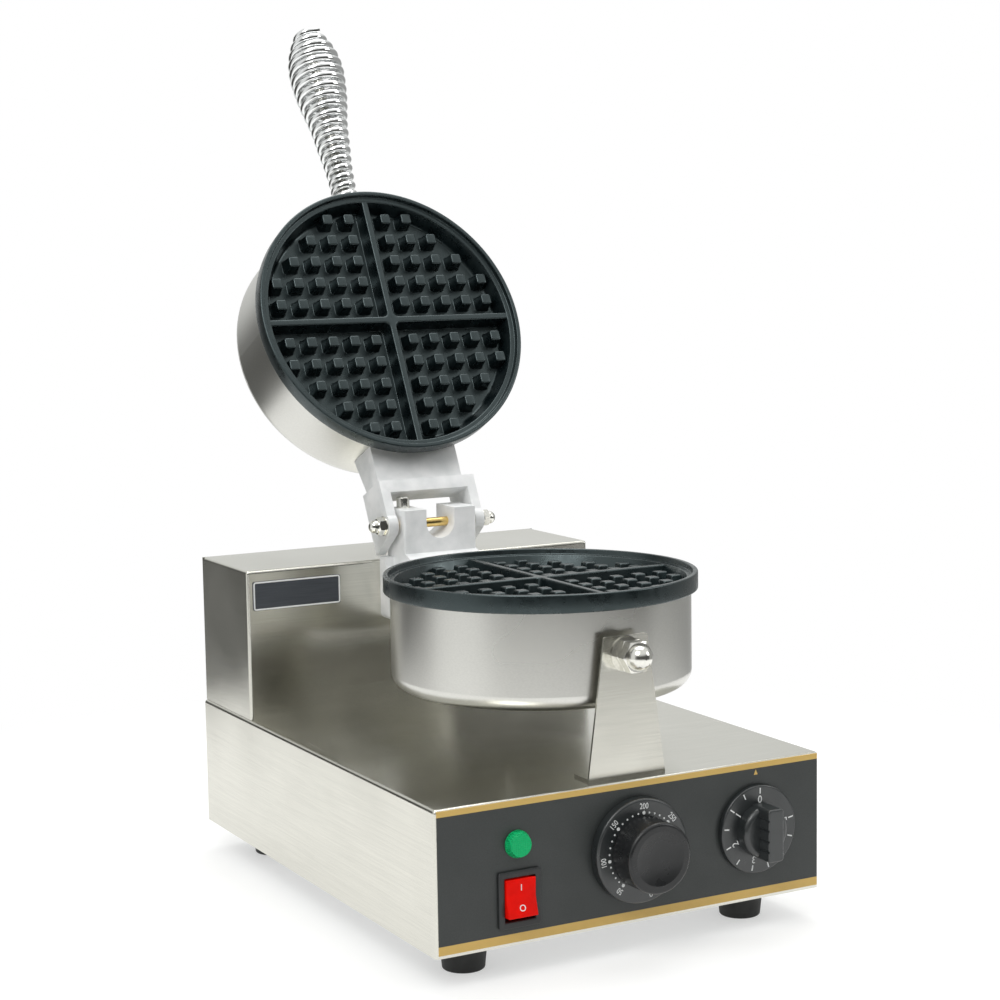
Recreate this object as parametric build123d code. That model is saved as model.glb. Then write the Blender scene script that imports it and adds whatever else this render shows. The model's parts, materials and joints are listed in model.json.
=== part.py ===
from build123d import *
import math
import os

# A commercial waffle maker with one round iron. All sizes are in millimetres.
# X runs to the right, Y to the back and Z up, seen from the control side.

# Base casing and its bottom plate
casing_width = 250.0
casing_depth = 333.8
casing_height = 80.7
sheet = 1.0
sheet_bend = 2.0
flange_width = 14.0
plate_clearance = 0.3
cover_screw_inset = 7.0

# Feet
foot_height = 19.0
foot_top_radius = 13.9
foot_bottom_radius = 11.9
foot_inset_x = 33.0
foot_inset_y = 32.5
foot_recess_radius = 5.0
foot_recess_depth = 12.0

# Rear tower
tower_depth = 77.3
tower_height = 94.5
tower_side_inset = 1.5
back_cover_lip = 10.0

# Waffle irons
rim_over_base = 104.0
rim_radius = 92.5
rim_inner_radius = 89.6
rim_skirt = 10.5
rim_gap = 0.5
ledge_drop = 3.4
cavity_radius = 86.0
floor_radius = 82.6
cavity_depth = 15.0
casting_depth = 21.0
casting_radius = 87.2
peg_base = 9.6
peg_top = 7.2
peg_height = 9.7
peg_pitch = 15.3
peg_first = 13.5
peg_reach = 80.5
rib_top = 4.4
rib_base = 6.4
plate_to_front = 103.3

# Cans that cover the backs of the irons
can_radius = 88.5
can_depth = 66.7
can_bottom_radius = 9.0

# Hinge between tower and lid
axle_radius = 3.0
axle_over_rim = 13.9
axle_before_tower = 14.0
open_angle = 116.4
running_clearance = 0.05
arm_gap = 2.2
arm_thickness = 6.3
arm_end_radius = 7.6
arm_top = 21.5
toe_reach = 12.5
crossbar_reach = 20.3
crossbar_thickness = 8.3
crossbar_bottom = 6.0
crossbar_inner_top = 12.2
yoke_neck_bottom = 3.0
yoke_neck_half_width = 30.3
yoke_neck_flare = 11.0
block_half_width = 25.5
block_front = 11.5
block_top = 9.9
block_foot = 17.6
notch_half_width = 10.0
notch_bottom = 9.0
lower_neck_half_width = 31.5
lower_neck_top = 12.7
lower_neck_bottom = 47.7
neck_slope_run = 24.0
stop_gap = 0.4
stop_width = 9.0

# Handle on the lid
handle_over_casting = 9.0
handle_tip_reach = 232.0
handle_rod_radius = 3.2
coil_wire = 5.2
coil_pitch = 6.6
coil_start_gap = 2.5

# Front bracket that carries the lower can
bracket_sheet = 1.5
bracket_bottom_width = 50.0
bracket_top_width = 28.0
bracket_height = 79.8
bracket_from_front = 8.6
bracket_flange = 14.0
support_bolt_radius = 5.0
support_bolt_below_rim = 34.7
support_nut_width = 17.0

# Control panel
fascia_sheet = 0.6
fascia_side_inset = 1.5
fascia_bottom = 1.8
fascia_top_gap = 0.7
knob_gap = 0.6
thermostat_x = 0.0
thermostat_z = 42.0
dial_radius = 29.5
dial_thickness = 6.0
cap_radius = 20.0
cap_height = 18.0
cap_dimple_radius = 62.0
cap_dimple_depth = 1.9
timer_x = 80.0
timer_z = 42.0
timer_disc_radius = 25.5
timer_disc_thickness = 3.0
timer_hub_radius = 15.0
timer_hub_height = 8.0
timer_grip_width = 10.4
timer_grip_length = 30.5
timer_grip_height = 20.0
grip_groove_radius = 0.8
grip_grooves = (-9.0, -3.0, 3.0, 9.0)
shaft_radius = 3.0
shaft_clearance = 0.05
lamp_x = -75.5
lamp_z = 56.0
lamp_radius = 7.6
lamp_hole_radius = 5.0
switch_x = -75.0
switch_z = 26.0
switch_width = 26.0
switch_height = 31.5
switch_rim = 2.6
switch_rim_proud = 1.8
rocker_tilt = 7.0
rocker_clearance = 0.35

# Fasteners
screw_clearance = 0.1
seat_gap = 0.05
small_screw_radius = 1.5
small_head_radius = 3.0
small_head_height = 1.8
tie_bolt_radius = 2.5
tie_bolt_circle = 36.0
joint_screw_radius = 3.0
tie_boss_radius = 6.0
can_screw_drop = 6.8
can_screw_spread = 18.0

# Nameplate
nameplate_width = 59.5
nameplate_height = 18.3
nameplate_sheet = 0.8
nameplate_x = -89.8
nameplate_drop = 7.0

# Insides
heater_radius = 60.0
heater_tube = 3.3
clamp_radius = 72.0
clamp_sheet = 2.0
insulation_thickness = 16.0
insulation_gap = 1.3
insulation_wall_gap = 9.5
bulb_radius = 3.0
bulb_length = 44.0

# Places worked out from the sizes above
base_bottom = foot_height
base_top = base_bottom + casing_height
tower_front = casing_depth - tower_depth
tower_top = base_top + tower_height
rim_z = base_top + rim_over_base
axle_y = tower_front - axle_before_tower
axle_z = rim_z + axle_over_rim
plate_y = plate_to_front
can_front = plate_y - can_radius
panel_face = -fascia_sheet
arm_inner = block_half_width + arm_gap
arm_outer = arm_inner + arm_thickness
insulation_radius = can_radius - sheet - insulation_wall_gap

casing_half = casing_width / 2
tower_half = casing_half - tower_side_inset
bracket_back = bracket_from_front + bracket_sheet
bracket_screws = [(x, bracket_back + bracket_flange / 2) for x in (-14.0, 14.0)]
support_z = rim_z - support_bolt_below_rim
hinge_bolts = [(x, rim_z - lower_neck_bottom / 2 - lower_neck_top / 2) for x in (-20.0, 20.0)]
can_screws = [(x, -casting_depth - can_screw_drop) for x in (-can_screw_spread, can_screw_spread)]
tie_angles = (90, 210, 330)
ties = [
    (tie_bolt_circle * math.cos(math.radians(a)), tie_bolt_circle * math.sin(math.radians(a)))
    for a in tie_angles
]
foot_nut_room = 6.5
lead_hole_radius = 12.0
lead_hole_y = tower_front + tower_depth / 2
gland_radius = 8.0
gland_x = -85.0
gland_z = base_bottom + 40.0
lead_duct_radius = 6.0
duct_z = rim_z - lower_neck_bottom / 2 - lower_neck_top / 2
louvre_rows = 8
louvre_pitch = 7.0
louvre_slot = 3.0
louvre_length = 64.0
louvre_middle = 60.0
louvre_proud = 2.0
support_nut_height = 6.0
support_cap_height = 14.0
support_cap_hex = 6.5
support_washer = 1.0
support_head = 5.0
heater_leg = 26.0
clamp_face = casting_depth + 2 * heater_tube + 2 * seat_gap
can_screw_depth = 14.0
hinge_bolt_grip = 14.0
ferrule_x = -18.0
ferrule_back = 6.0
ferrule_bore = 2.6
ferrule_radius = 4.2
ferrule_height = 7.0
ferrule_spigot = 5.0
axle_washer = 1.2
axle_nut_width = 10.0
axle_nut_hex = 4.6
axle_nut_height = 10.0
fascia_top = casing_height - fascia_top_gap
handle_over_rim = casting_depth + handle_over_casting
handle_z = rim_z + rim_gap + handle_over_rim
handle_nut = 5.0
handle_nut_width = 13.0
coil_outline = [
    (2.0, 9.3), (6.0, 11.8), (10.9, 14.2), (16.0, 16.4), (22.0, 18.2), (29.0, 19.2), (36.4, 19.4),
    (44.0, 18.6), (51.0, 17.9), (59.0, 16.6), (66.5, 14.9), (74.0, 13.4), (84.0, 12.3), (93.0, 11.5),
    (102.0, 10.2), (111.0, 9.4), (120.0, 9.0), (150.0, 9.0),
]
coil_base = can_radius + handle_nut + coil_start_gap
coil_length = handle_tip_reach - coil_base - coil_wire
coil_turns = round(coil_length / coil_pitch * 4) / 4
handle_rod_end = handle_tip_reach - 14.0
control_body_face = 4.0
control_body_depth = 28.0
shaft_inside = 8.0
switch_body_depth = 22.0
switch_well_depth = 12.0
rocker_proud = 2.6
rocker_hinge_depth = 4.0
lamp_proud = 5.0
lamp_stem = 6.0
gland_bore = 4.0

nodes = {}


def block(x0, x1, y0, y1, z0, z1):
    """A box between two corners."""
    size = Box(x1 - x0, y1 - y0, z1 - z0)
    return Pos((x0 + x1) / 2, (y0 + y1) / 2, (z0 + z1) / 2) * size


def rod_x(radius, x0, x1, y, z):
    """A cylinder along X."""
    return Pos((x0 + x1) / 2, y, z) * Rot(0, 90, 0) * Cylinder(radius, x1 - x0)


def rod_y(radius, y0, y1, x, z):
    """A cylinder along Y."""
    return Pos(x, (y0 + y1) / 2, z) * Rot(90, 0, 0) * Cylinder(radius, y1 - y0)


def rod_z(radius, z0, z1, x, y):
    """A cylinder along Z."""
    return Pos(x, y, (z0 + z1) / 2) * Cylinder(radius, z1 - z0)


def turned(points):
    """A solid turned about Z from (radius, height) points."""
    outline = Polyline([(r, 0, z) for r, z in points], close=True)
    return revolve(make_face(outline.edges()), Axis.Z)


def side_profile(points, x0, x1):
    """A prism along X from (y, z) points."""
    outline = Polyline([(x0, y, z) for y, z in points], close=True)
    return extrude(make_face(outline.edges()), amount=x1 - x0, dir=(1, 0, 0))


def hexagon(width, height):
    """A hexagonal prism that stands on Z = 0."""
    return extrude(RegularPolygon(width / 2, 6, major_radius=False), amount=height)


def round_edges(part, radius, z):
    """Rounds the circular edges of one radius at one height."""
    ring = [
        e for e in part.edges().filter_by(GeomType.CIRCLE)
        if abs(e.radius - radius[0]) < 0.01 and abs(e.center().Z - z) < 0.01
    ]
    return fillet(ring, radius[1])


def grid(xs, ys):
    """All pairs of two lists."""
    return [(x, y) for x in xs for y in ys]


# Places of the screws, shared by the pieces that they join
bottom_screws = grid(
    [-casing_half + cover_screw_inset, casing_half - cover_screw_inset],
    [
        cover_screw_inset + foot_inset_y * 2,
        casing_depth / 2,
        casing_depth - cover_screw_inset - foot_inset_y * 2,
    ],
)
feet = grid(
    [-casing_half + foot_inset_x, casing_half - foot_inset_x],
    [foot_inset_y, casing_depth - foot_inset_y],
)
back_screws = grid(
    [-tower_half + sheet + back_cover_lip / 2, tower_half - sheet - back_cover_lip / 2],
    [base_top + back_cover_lip, tower_top - back_cover_lip],
)
tower_screws = grid(
    [-tower_half + back_cover_lip, tower_half - back_cover_lip],
    [tower_front + back_cover_lip, casing_depth - 2 * back_cover_lip],
)


# Base casing: a folded steel box with an open bottom
def make_base_casing():
    outer = block(-casing_half, casing_half, 0, casing_depth, base_bottom, base_top)
    outer = fillet(outer.edges().filter_by(Axis.Z), sheet_bend)
    outer = fillet(outer.faces().sort_by(Axis.Z)[-1].edges(), sheet_bend)
    inner_half = casing_half - sheet
    inner = block(-inner_half, inner_half, sheet, casing_depth - sheet,
                  base_bottom + 2 * sheet, base_top - sheet)
    recess = block(-inner_half, inner_half, sheet, casing_depth - sheet,
                   base_bottom - sheet, base_bottom + sheet)
    opening_half = casing_half - flange_width
    opening = block(-opening_half, opening_half, flange_width, casing_depth - flange_width,
                    base_bottom, base_bottom + 3 * sheet)
    shell = outer - inner - recess - opening
    for x, y in bottom_screws:
        shell -= rod_z(small_screw_radius + screw_clearance, base_bottom, base_bottom + 3 * sheet, x, y)
    for x, y in feet:
        shell -= rod_z(foot_nut_room, base_bottom, base_bottom + 3 * sheet, x, y)
    for x, y in bracket_screws + tower_screws:
        shell -= rod_z(small_screw_radius + screw_clearance, base_top - 2 * sheet, base_top + sheet, x, y)
    shell -= rod_z(lead_hole_radius, base_top - 2 * sheet, base_top + sheet, 0, lead_hole_y)
    shell -= rod_y(gland_radius + screw_clearance, casing_depth - 2 * sheet, casing_depth + sheet,
                   gland_x, gland_z)
    return shell - panel_holes()


# Openings that the front wall and its fascia share
def panel_holes():
    holes = rod_y(shaft_radius + 1.5, panel_face - 1, 2 * sheet, thermostat_x, base_bottom + thermostat_z)
    holes += rod_y(shaft_radius + 1.5, panel_face - 1, 2 * sheet, timer_x, base_bottom + timer_z)
    holes += rod_y(lamp_hole_radius + screw_clearance, panel_face - 1, 2 * sheet,
                   lamp_x, base_bottom + lamp_z)
    w = switch_width / 2 - switch_rim + screw_clearance
    h = switch_height / 2 - switch_rim + screw_clearance
    z = base_bottom + switch_z
    holes += block(switch_x - w, switch_x + w, panel_face - 1, 2 * sheet, z - h, z + h)
    return holes


def make_base_plate():
    half = casing_half - sheet - plate_clearance
    y0 = sheet + plate_clearance
    y1 = casing_depth - sheet - plate_clearance
    plate = block(-half, half, y0, y1, base_bottom, base_bottom + sheet - seat_gap)
    for x, y in bottom_screws + feet:
        plate -= rod_z(small_screw_radius + screw_clearance, base_bottom - 1, base_bottom + 2, x, y)
    slots = 9
    slot_pitch = 12.0
    for i in range(slots):
        x = (i - (slots - 1) / 2) * slot_pitch
        plate -= block(x - 2, x + 2, casing_depth * 0.4, casing_depth * 0.6,
                       base_bottom - 1, base_bottom + 2)
    return plate


def make_fascia():
    half = casing_half - fascia_side_inset
    sheet_part = block(-half, half, panel_face, 0, base_bottom + fascia_bottom, base_bottom + fascia_top)
    return sheet_part - panel_holes()


# Rubber feet, each held by a screw from below with a nut inside
def make_feet():
    solids = []
    for x, y in feet:
        body = turned([(0, 0), (foot_bottom_radius, 0), (foot_top_radius, foot_height), (0, foot_height)])
        body = round_edges(body, (foot_bottom_radius, 1.2), 0)
        body -= rod_z(foot_recess_radius, -1, foot_recess_depth, 0, 0)
        body -= rod_z(small_screw_radius + screw_clearance, 0, foot_height + 1, 0, 0)
        solids.append(Pos(x, y, 0) * body)
    return solids


def make_foot_screws():
    solids = []
    for x, y in feet:
        screw = rod_z(small_head_radius + 1, foot_recess_depth - 2.2, foot_recess_depth, x, y)
        screw += rod_z(small_screw_radius, foot_recess_depth, base_bottom + 6, x, y)
        solids.append(screw)
    return solids


def make_foot_nuts():
    bore = Cylinder(small_screw_radius + screw_clearance / 2, 20)
    return [
        Pos(x, y, base_bottom + sheet) * (hexagon(7.0, 2.8) - bore)
        for x, y in feet
    ]


def make_bottom_screws():
    solids = []
    for x, y in bottom_screws:
        screw = rod_z(small_head_radius, base_bottom - small_head_height, base_bottom, x, y)
        screw = fillet(screw.edges().sort_by(Axis.Z)[:1], 0.8)
        screw += rod_z(small_screw_radius, base_bottom, base_bottom + 6, x, y)
        solids.append(screw)
    return solids


# Tower: a folded cover on the back of the base, with its own back cover
def make_tower_casing():
    outer = block(-tower_half, tower_half, tower_front, casing_depth - sheet_bend, base_top, tower_top)
    outer = fillet(outer.edges().filter_by(Axis.Z).sort_by(Axis.Y)[:2], sheet_bend)
    top = outer.faces().sort_by(Axis.Z)[-1]
    outer = fillet(top.edges().sort_by(Axis.Y)[:-1], sheet_bend)
    inner_half = tower_half - sheet
    back = casing_depth - sheet_bend
    inner = block(-inner_half, inner_half, tower_front + sheet, back + 1, base_top + sheet, tower_top - sheet)
    shell = outer - inner
    floor_half = inner_half - flange_width
    shell -= block(-floor_half, floor_half, tower_front + flange_width, back + 1,
                   base_top - 1, base_top + 2 * sheet)
    lip = block(-inner_half, inner_half, back - sheet, back, base_top + sheet, tower_top - sheet)
    lip_half = inner_half - back_cover_lip
    lip -= block(-lip_half, lip_half, back - 2 * sheet, back + 1,
                 base_top - 1, tower_top - sheet - back_cover_lip)
    shell += lip
    for x, y in tower_screws:
        shell -= rod_z(small_screw_radius + screw_clearance, base_top - 1, base_top + 2 * sheet, x, y)
    for x, z in back_screws:
        shell -= rod_y(small_screw_radius + screw_clearance, back - 2 * sheet, back + 1, x, z)
    for x, z in hinge_bolts:
        shell -= rod_y(joint_screw_radius + screw_clearance, tower_front - 1, tower_front + 2 * sheet, x, z)
    shell -= rod_y(lead_duct_radius, tower_front - 1, tower_front + 2 * sheet, 0, duct_z)
    return shell


def make_tower_back():
    back = casing_depth - sheet_bend
    face = back + sheet
    cover = block(-tower_half, tower_half, back, face, base_top, tower_top)
    middle = (base_top + tower_top) / 2
    for side in (-1, 1):
        x0 = side * louvre_middle - louvre_length / 2
        x1 = side * louvre_middle + louvre_length / 2
        for i in range(louvre_rows):
            z = middle + (i - (louvre_rows - 1) / 2) * louvre_pitch
            cover -= block(x0, x1, back - 1, face + 1, z - louvre_slot / 2, z + louvre_slot / 2)
            top = z + louvre_slot / 2 + 1.6
            cover += side_profile(
                [(face - 0.2, top - 1.0), (face - 0.2, top), (face + louvre_proud, z),
                 (face + louvre_proud, z - 1.0)], x0, x1)
    for x, z in back_screws:
        cover -= rod_y(small_screw_radius + screw_clearance, back - 1, face + 1, x, z)
    return cover


def make_back_screws():
    face = casing_depth - sheet_bend + sheet
    solids = []
    for x, z in back_screws:
        screw = rod_y(small_head_radius, face, face + small_head_height, x, z)
        screw = fillet(screw.edges().sort_by(Axis.Y)[-1:], 0.8)
        screw += rod_y(small_screw_radius, face - 6, face, x, z)
        solids.append(screw)
    return solids


def make_tower_screws():
    solids = []
    for x, y in tower_screws:
        screw = rod_z(small_head_radius, base_top + sheet, base_top + sheet + small_head_height, x, y)
        screw += rod_z(small_screw_radius, base_top - 5, base_top + sheet, x, y)
        solids.append(screw)
    return solids


def make_nameplate():
    z1 = tower_top - nameplate_drop
    z0 = z1 - nameplate_height
    x0 = nameplate_x - nameplate_width / 2
    x1 = nameplate_x + nameplate_width / 2
    plate = block(x0, x1, tower_front - nameplate_sheet, tower_front, z0, z1)
    return fillet(plate.edges().filter_by(Axis.Y), 1.2)


# Front bracket, its screws and the bolt that holds the can to it
def make_front_bracket():
    low = bracket_bottom_width / 2
    high = bracket_top_width / 2
    y0 = bracket_from_front
    top = base_top + bracket_height
    outline = Polyline(
        [(-low, y0, base_top), (low, y0, base_top), (high, y0, top), (-high, y0, top)], close=True)
    web = extrude(make_face(outline.edges()), amount=bracket_sheet, dir=(0, 1, 0))
    web = fillet(web.edges().filter_by(Axis.Y).sort_by(Axis.Z)[-2:], 1.5)
    flange = block(-low, low, y0, bracket_back + bracket_flange, base_top, base_top + bracket_sheet)
    part = web + flange
    part -= rod_y(support_bolt_radius + screw_clearance, y0 - 1, bracket_back + 1, 0, support_z)
    for x, y in bracket_screws:
        part -= rod_z(small_screw_radius + screw_clearance, base_top - 1, base_top + 3, x, y)
    return part


def make_bracket_screws():
    solids = []
    for x, y in bracket_screws:
        seat = base_top + bracket_sheet
        screw = rod_z(small_head_radius, seat, seat + small_head_height, x, y)
        screw = fillet(screw.edges().sort_by(Axis.Z)[-1:], 0.8)
        screw += rod_z(small_screw_radius, base_top - 5, seat, x, y)
        solids.append(screw)
    return solids


def make_support_bolt():
    inside = can_front + sheet
    bolt = rod_y(support_bolt_radius, bracket_from_front - support_nut_height - 9, inside + 1, 0, support_z)
    head = Pos(0, inside + 1, support_z) * Rot(-90, 0, 0) * hexagon(support_nut_width, support_head)
    return bolt + head


def make_support_spacer():
    ring = rod_y(support_bolt_radius + 3, bracket_back, can_front + seat_gap, 0, support_z)
    ring -= rod_y(support_bolt_radius + screw_clearance, bracket_back - 1, can_front + 2, 0, support_z)
    return ring - Pos(0, plate_y, rim_z - can_depth) * Cylinder(can_radius + seat_gap, 3 * can_depth)


def make_support_washer():
    y1 = bracket_from_front
    ring = rod_y(support_bolt_radius + 5, y1 - support_washer, y1, 0, support_z)
    return ring - rod_y(support_bolt_radius + screw_clearance, y1 - 3, y1 + 1, 0, support_z)


def nut_edges(width, height):
    """A cone that rounds a hexagon's corners at its outer end."""
    corner = width / 2 / math.cos(math.pi / 6)
    return turned([
        (0, 0), (corner + 1, 0), (corner + 1, height - 1.6), (width / 2 - 0.2, height), (0, height)])


def acorn(width, hex_height, height, bore):
    """A domed nut that stands on Z = 0, with a blind bore."""
    dome = width * 0.42
    body = hexagon(width, hex_height) & nut_edges(width, hex_height)
    body += Pos(0, 0, height - dome) * Sphere(dome)
    body += rod_z(dome, 0.5, height - dome, 0, 0)
    body &= rod_z(width, 0, height, 0, 0)
    return body - rod_z(bore, -1, height - dome * 0.6, 0, 0)


def make_support_nut():
    y1 = bracket_from_front - support_washer
    body = hexagon(support_nut_width, support_nut_height) & nut_edges(support_nut_width, support_nut_height)
    body -= Cylinder(support_bolt_radius + screw_clearance, 40)
    return Pos(0, y1, support_z) * Rot(90, 0, 0) * body


def make_support_cap():
    y1 = bracket_from_front - support_washer - support_nut_height
    bore = support_bolt_radius + screw_clearance
    body = acorn(support_nut_width, support_cap_hex, support_cap_height, bore)
    return Pos(0, y1, support_z) * Rot(90, 0, 0) * body


# An iron in its own frame: its rim lies at Z = 0 and its cavity opens upwards
def make_iron():
    body = turned([
        (0, -cavity_depth),
        (floor_radius, -cavity_depth),
        (cavity_radius, -ledge_drop),
        (rim_inner_radius - 0.5, -ledge_drop),
        (rim_inner_radius, 0),
        (rim_radius, 0),
        (rim_radius, -rim_skirt),
        (casting_radius, -rim_skirt),
        (casting_radius, -casting_depth),
        (0, -casting_depth),
    ])
    body = round_edges(body, (rim_radius, 0.9), 0)
    body = round_edges(body, (rim_inner_radius, 0.5), 0)
    body += iron_ribs()
    for x, y in ties:
        body += rod_z(tie_boss_radius, -casting_depth - 2 * heater_tube, -casting_depth + 1, x, y)
    for x, y in ties:
        body -= rod_z(tie_bolt_radius + screw_clearance, -casting_depth - 8, -casting_depth + 3, x, y)
    return body + iron_pegs()


# The cross that divides the waffle in four
def iron_ribs():
    sunk = cavity_depth + 1
    reach = casting_radius - 1
    ends = [(rib_base, -sunk), (rib_top, -ledge_drop)]
    outline = [(-ends[0][0] / 2, ends[0][1]), (ends[0][0] / 2, ends[0][1]),
               (ends[1][0] / 2, ends[1][1]), (-ends[1][0] / 2, ends[1][1])]
    rib = side_profile(outline, -reach, reach)
    cross = rib + Rot(0, 0, 90) * rib
    taper = turned([
        (0, -sunk), (floor_radius + 2, -sunk), (cavity_radius + 1, -ledge_drop), (0, -ledge_drop)])
    return cross & taper


# The pegs that press the pockets: square and drafted, and sunk a little into the floor
def iron_pegs():
    draft = (peg_base - peg_top) / 2 / peg_height
    sunk = 1.0
    foot = peg_base + 2 * draft * sunk
    peg = extrude(Rectangle(foot, foot), amount=peg_height + sunk, taper=math.degrees(math.atan(draft)))
    places = [peg_first + i * peg_pitch for i in range(5)]
    inside = [(x, y) for x, y in grid(places, places) if math.hypot(x, y) < peg_reach]
    return [
        Pos(sx * x, sy * y, -cavity_depth - sunk) * peg
        for sx, sy in grid((-1, 1), (-1, 1))
        for x, y in inside
    ]


# A can in the iron's frame: a drawn steel cup below the rim's skirt
def make_can(front_hole_radius, front_hole_drop):
    inner = can_radius - sheet
    cup = rod_z(can_radius, -can_depth, -rim_skirt, 0, 0)
    cup = round_edges(cup, (can_radius, can_bottom_radius), -can_depth)
    hollow = rod_z(inner, -can_depth + sheet, -rim_skirt, 0, 0)
    hollow = round_edges(hollow, (inner, can_bottom_radius - sheet), -can_depth + sheet)
    cup -= hollow
    cup -= rod_y(front_hole_radius + screw_clearance, -can_radius - 5, -can_radius + 12, 0, -front_hole_drop)
    for x, z in can_screws:
        cup -= rod_y(joint_screw_radius + screw_clearance, can_radius - 20, can_radius + 5, x, z)
    for x, y in ties:
        cup -= rod_z(tie_bolt_radius + screw_clearance, -can_depth - 1, -can_depth + 2, x, y)
    return cup


def make_heater():
    """A tubular ring with a gap at the back, where its two ends turn away from the iron."""
    z = -casting_depth - heater_tube - seat_gap
    gap = math.degrees(18 / heater_radius)
    start = 90 + gap
    path = CenterArc((0, 0, z), heater_radius, start, 360 - 2 * gap)
    section = Plane(path @ 0, z_dir=path % 0) * Circle(heater_tube)
    tube = sweep(section, path=path)
    for end in (path @ 0, path @ 1):
        tube += Pos(end.X, end.Y, end.Z) * Sphere(heater_tube)
        tube += rod_z(heater_tube, z - heater_leg, z, end.X, end.Y)
    return tube


def heater_ends():
    gap = math.degrees(18 / heater_radius)
    return [
        (heater_radius * math.cos(math.radians(90 + s * gap)),
         heater_radius * math.sin(math.radians(90 + s * gap)))
        for s in (-1, 1)
    ]


def make_clamp():
    disc = rod_z(clamp_radius, -clamp_face - clamp_sheet, -clamp_face, 0, 0)
    disc -= rod_z(18, -clamp_face - 5, -clamp_face + 1, 0, 0)
    for x, y in ties:
        disc -= rod_z(tie_bolt_radius + screw_clearance, -clamp_face - 5, -clamp_face + 1, x, y)
    for x, y in heater_ends():
        disc -= rod_z(heater_tube + 1, -clamp_face - 5, -clamp_face + 1, x, y)
    return disc


def make_insulation():
    top = -clamp_face - clamp_sheet - insulation_gap
    pad = rod_z(insulation_radius, top - insulation_thickness, top, 0, 0)
    for x, y in ties:
        pad -= rod_z(tie_bolt_radius + 0.5, top - 30, top + 1, x, y)
    for x, y in heater_ends():
        pad -= rod_z(heater_tube + 1, top - 30, top + 1, x, y)
    return pad


def make_tie_bolts():
    solids = []
    for x, y in ties:
        bolt = rod_z(tie_bolt_radius, -can_depth - 0.5, -casting_depth + 2, x, y)
        head = Pos(x, y, -can_depth) * Rot(180, 0, 0) * (hexagon(8.0, 3.5) & nut_edges(8.0, 3.5))
        solids.append(bolt + head)
    return solids


def make_can_screws(seat):
    """Hexagon screws from inside a can into the casting behind it."""
    solids = []
    for x, z in can_screws:
        wall = math.sqrt((can_radius - sheet) ** 2 - (abs(x) + 6) ** 2)
        screw = rod_y(joint_screw_radius, wall - 1, seat, x, z)
        head = Pos(x, wall, z) * Rot(90, 0, 0) * hexagon(10.0, 4.0)
        solids.append(screw + head)
    return solids


# Lower hinge casting: a neck that carries the can, and a block with two ears
def make_lower_hinge():
    half = lower_neck_half_width
    z0 = rim_z - lower_neck_bottom
    z1 = rim_z - lower_neck_top
    neck = block(-half, half, plate_y + can_radius - 8, tower_front, z0, z1)
    neck = fillet(neck.edges().filter_by(Axis.Y), 4.0)
    front = axle_y - block_front
    pedestal = side_profile(
        [(front - neck_slope_run, z1 - 5), (front - neck_slope_run, z1), (front, axle_z - block_foot),
         (front, axle_z + block_top), (tower_front, axle_z + block_top), (tower_front, z1 - 5)],
        -block_half_width, block_half_width)
    upright = [
        e for e in pedestal.edges().filter_by(Axis.Z)
        if abs(e.center().Y - front) < 0.1
    ]
    pedestal = fillet(upright, 1.5)
    part = neck + pedestal
    toe_z = axle_z - math.hypot(toe_reach, arm_top) * math.sin(toe_angle()) - stop_gap
    for side in (-1, 1):
        x0, x1 = sorted((side * (block_half_width - 1), side * half))
        part += block(x0, x1, tower_front - stop_width, tower_front, z1 - 5, toe_z)
    notch_z = axle_z - notch_bottom + notch_half_width
    part -= rod_y(notch_half_width, front - 5, tower_front + 5, 0, notch_z)
    part -= block(-notch_half_width, notch_half_width, front - 5, tower_front + 5, notch_z, axle_z + 30)
    part -= rod_x(axle_radius + running_clearance, -40, 40, axle_y, axle_z)
    part -= Pos(0, plate_y, rim_z) * Cylinder(can_radius + seat_gap, 300)
    for x, z in hinge_bolts:
        part -= rod_y(joint_screw_radius + screw_clearance, tower_front - hinge_bolt_grip - 1,
                      tower_front + 1, x, z)
    for x, z in can_screws:
        part -= rod_y(joint_screw_radius + screw_clearance, plate_y + can_radius - 10,
                      plate_y + can_radius + can_screw_depth, x, rim_z + z)
    part -= rod_y(lead_duct_radius, plate_y + can_radius - 10, tower_front + 1, 0, duct_z)
    part -= rod_z(ferrule_bore, duct_z, axle_z + 30, ferrule_x, axle_y + ferrule_back)
    return part


def toe_angle():
    """How far below level the toe points when the lid stands open."""
    return math.radians(open_angle) - math.atan2(arm_top, toe_reach)


def make_hinge_bolts():
    solids = []
    inside = tower_front + sheet
    for x, z in hinge_bolts:
        bolt = rod_y(joint_screw_radius, tower_front - hinge_bolt_grip, inside + 1, x, z)
        head = Pos(x, inside, z) * Rot(-90, 0, 0) * (hexagon(10.0, 4.0) & nut_edges(10.0, 4.0))
        solids.append(bolt + head)
    return solids


# The short tube on the left ear, out of which the lid heater's leads come
def make_lead_ferrule():
    z0 = axle_z + block_top
    y = axle_y + ferrule_back
    tube = rod_z(ferrule_radius, z0, z0 + ferrule_height, ferrule_x, y)
    tube = fillet(tube.edges().sort_by(Axis.Z)[-1:], 0.6)
    tube += rod_z(ferrule_bore - screw_clearance, z0 - ferrule_spigot, z0, ferrule_x, y)
    return tube - rod_z(ferrule_bore - 1.0, z0 - 2 * ferrule_spigot, z0 + 2 * ferrule_height, ferrule_x, y)


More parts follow.
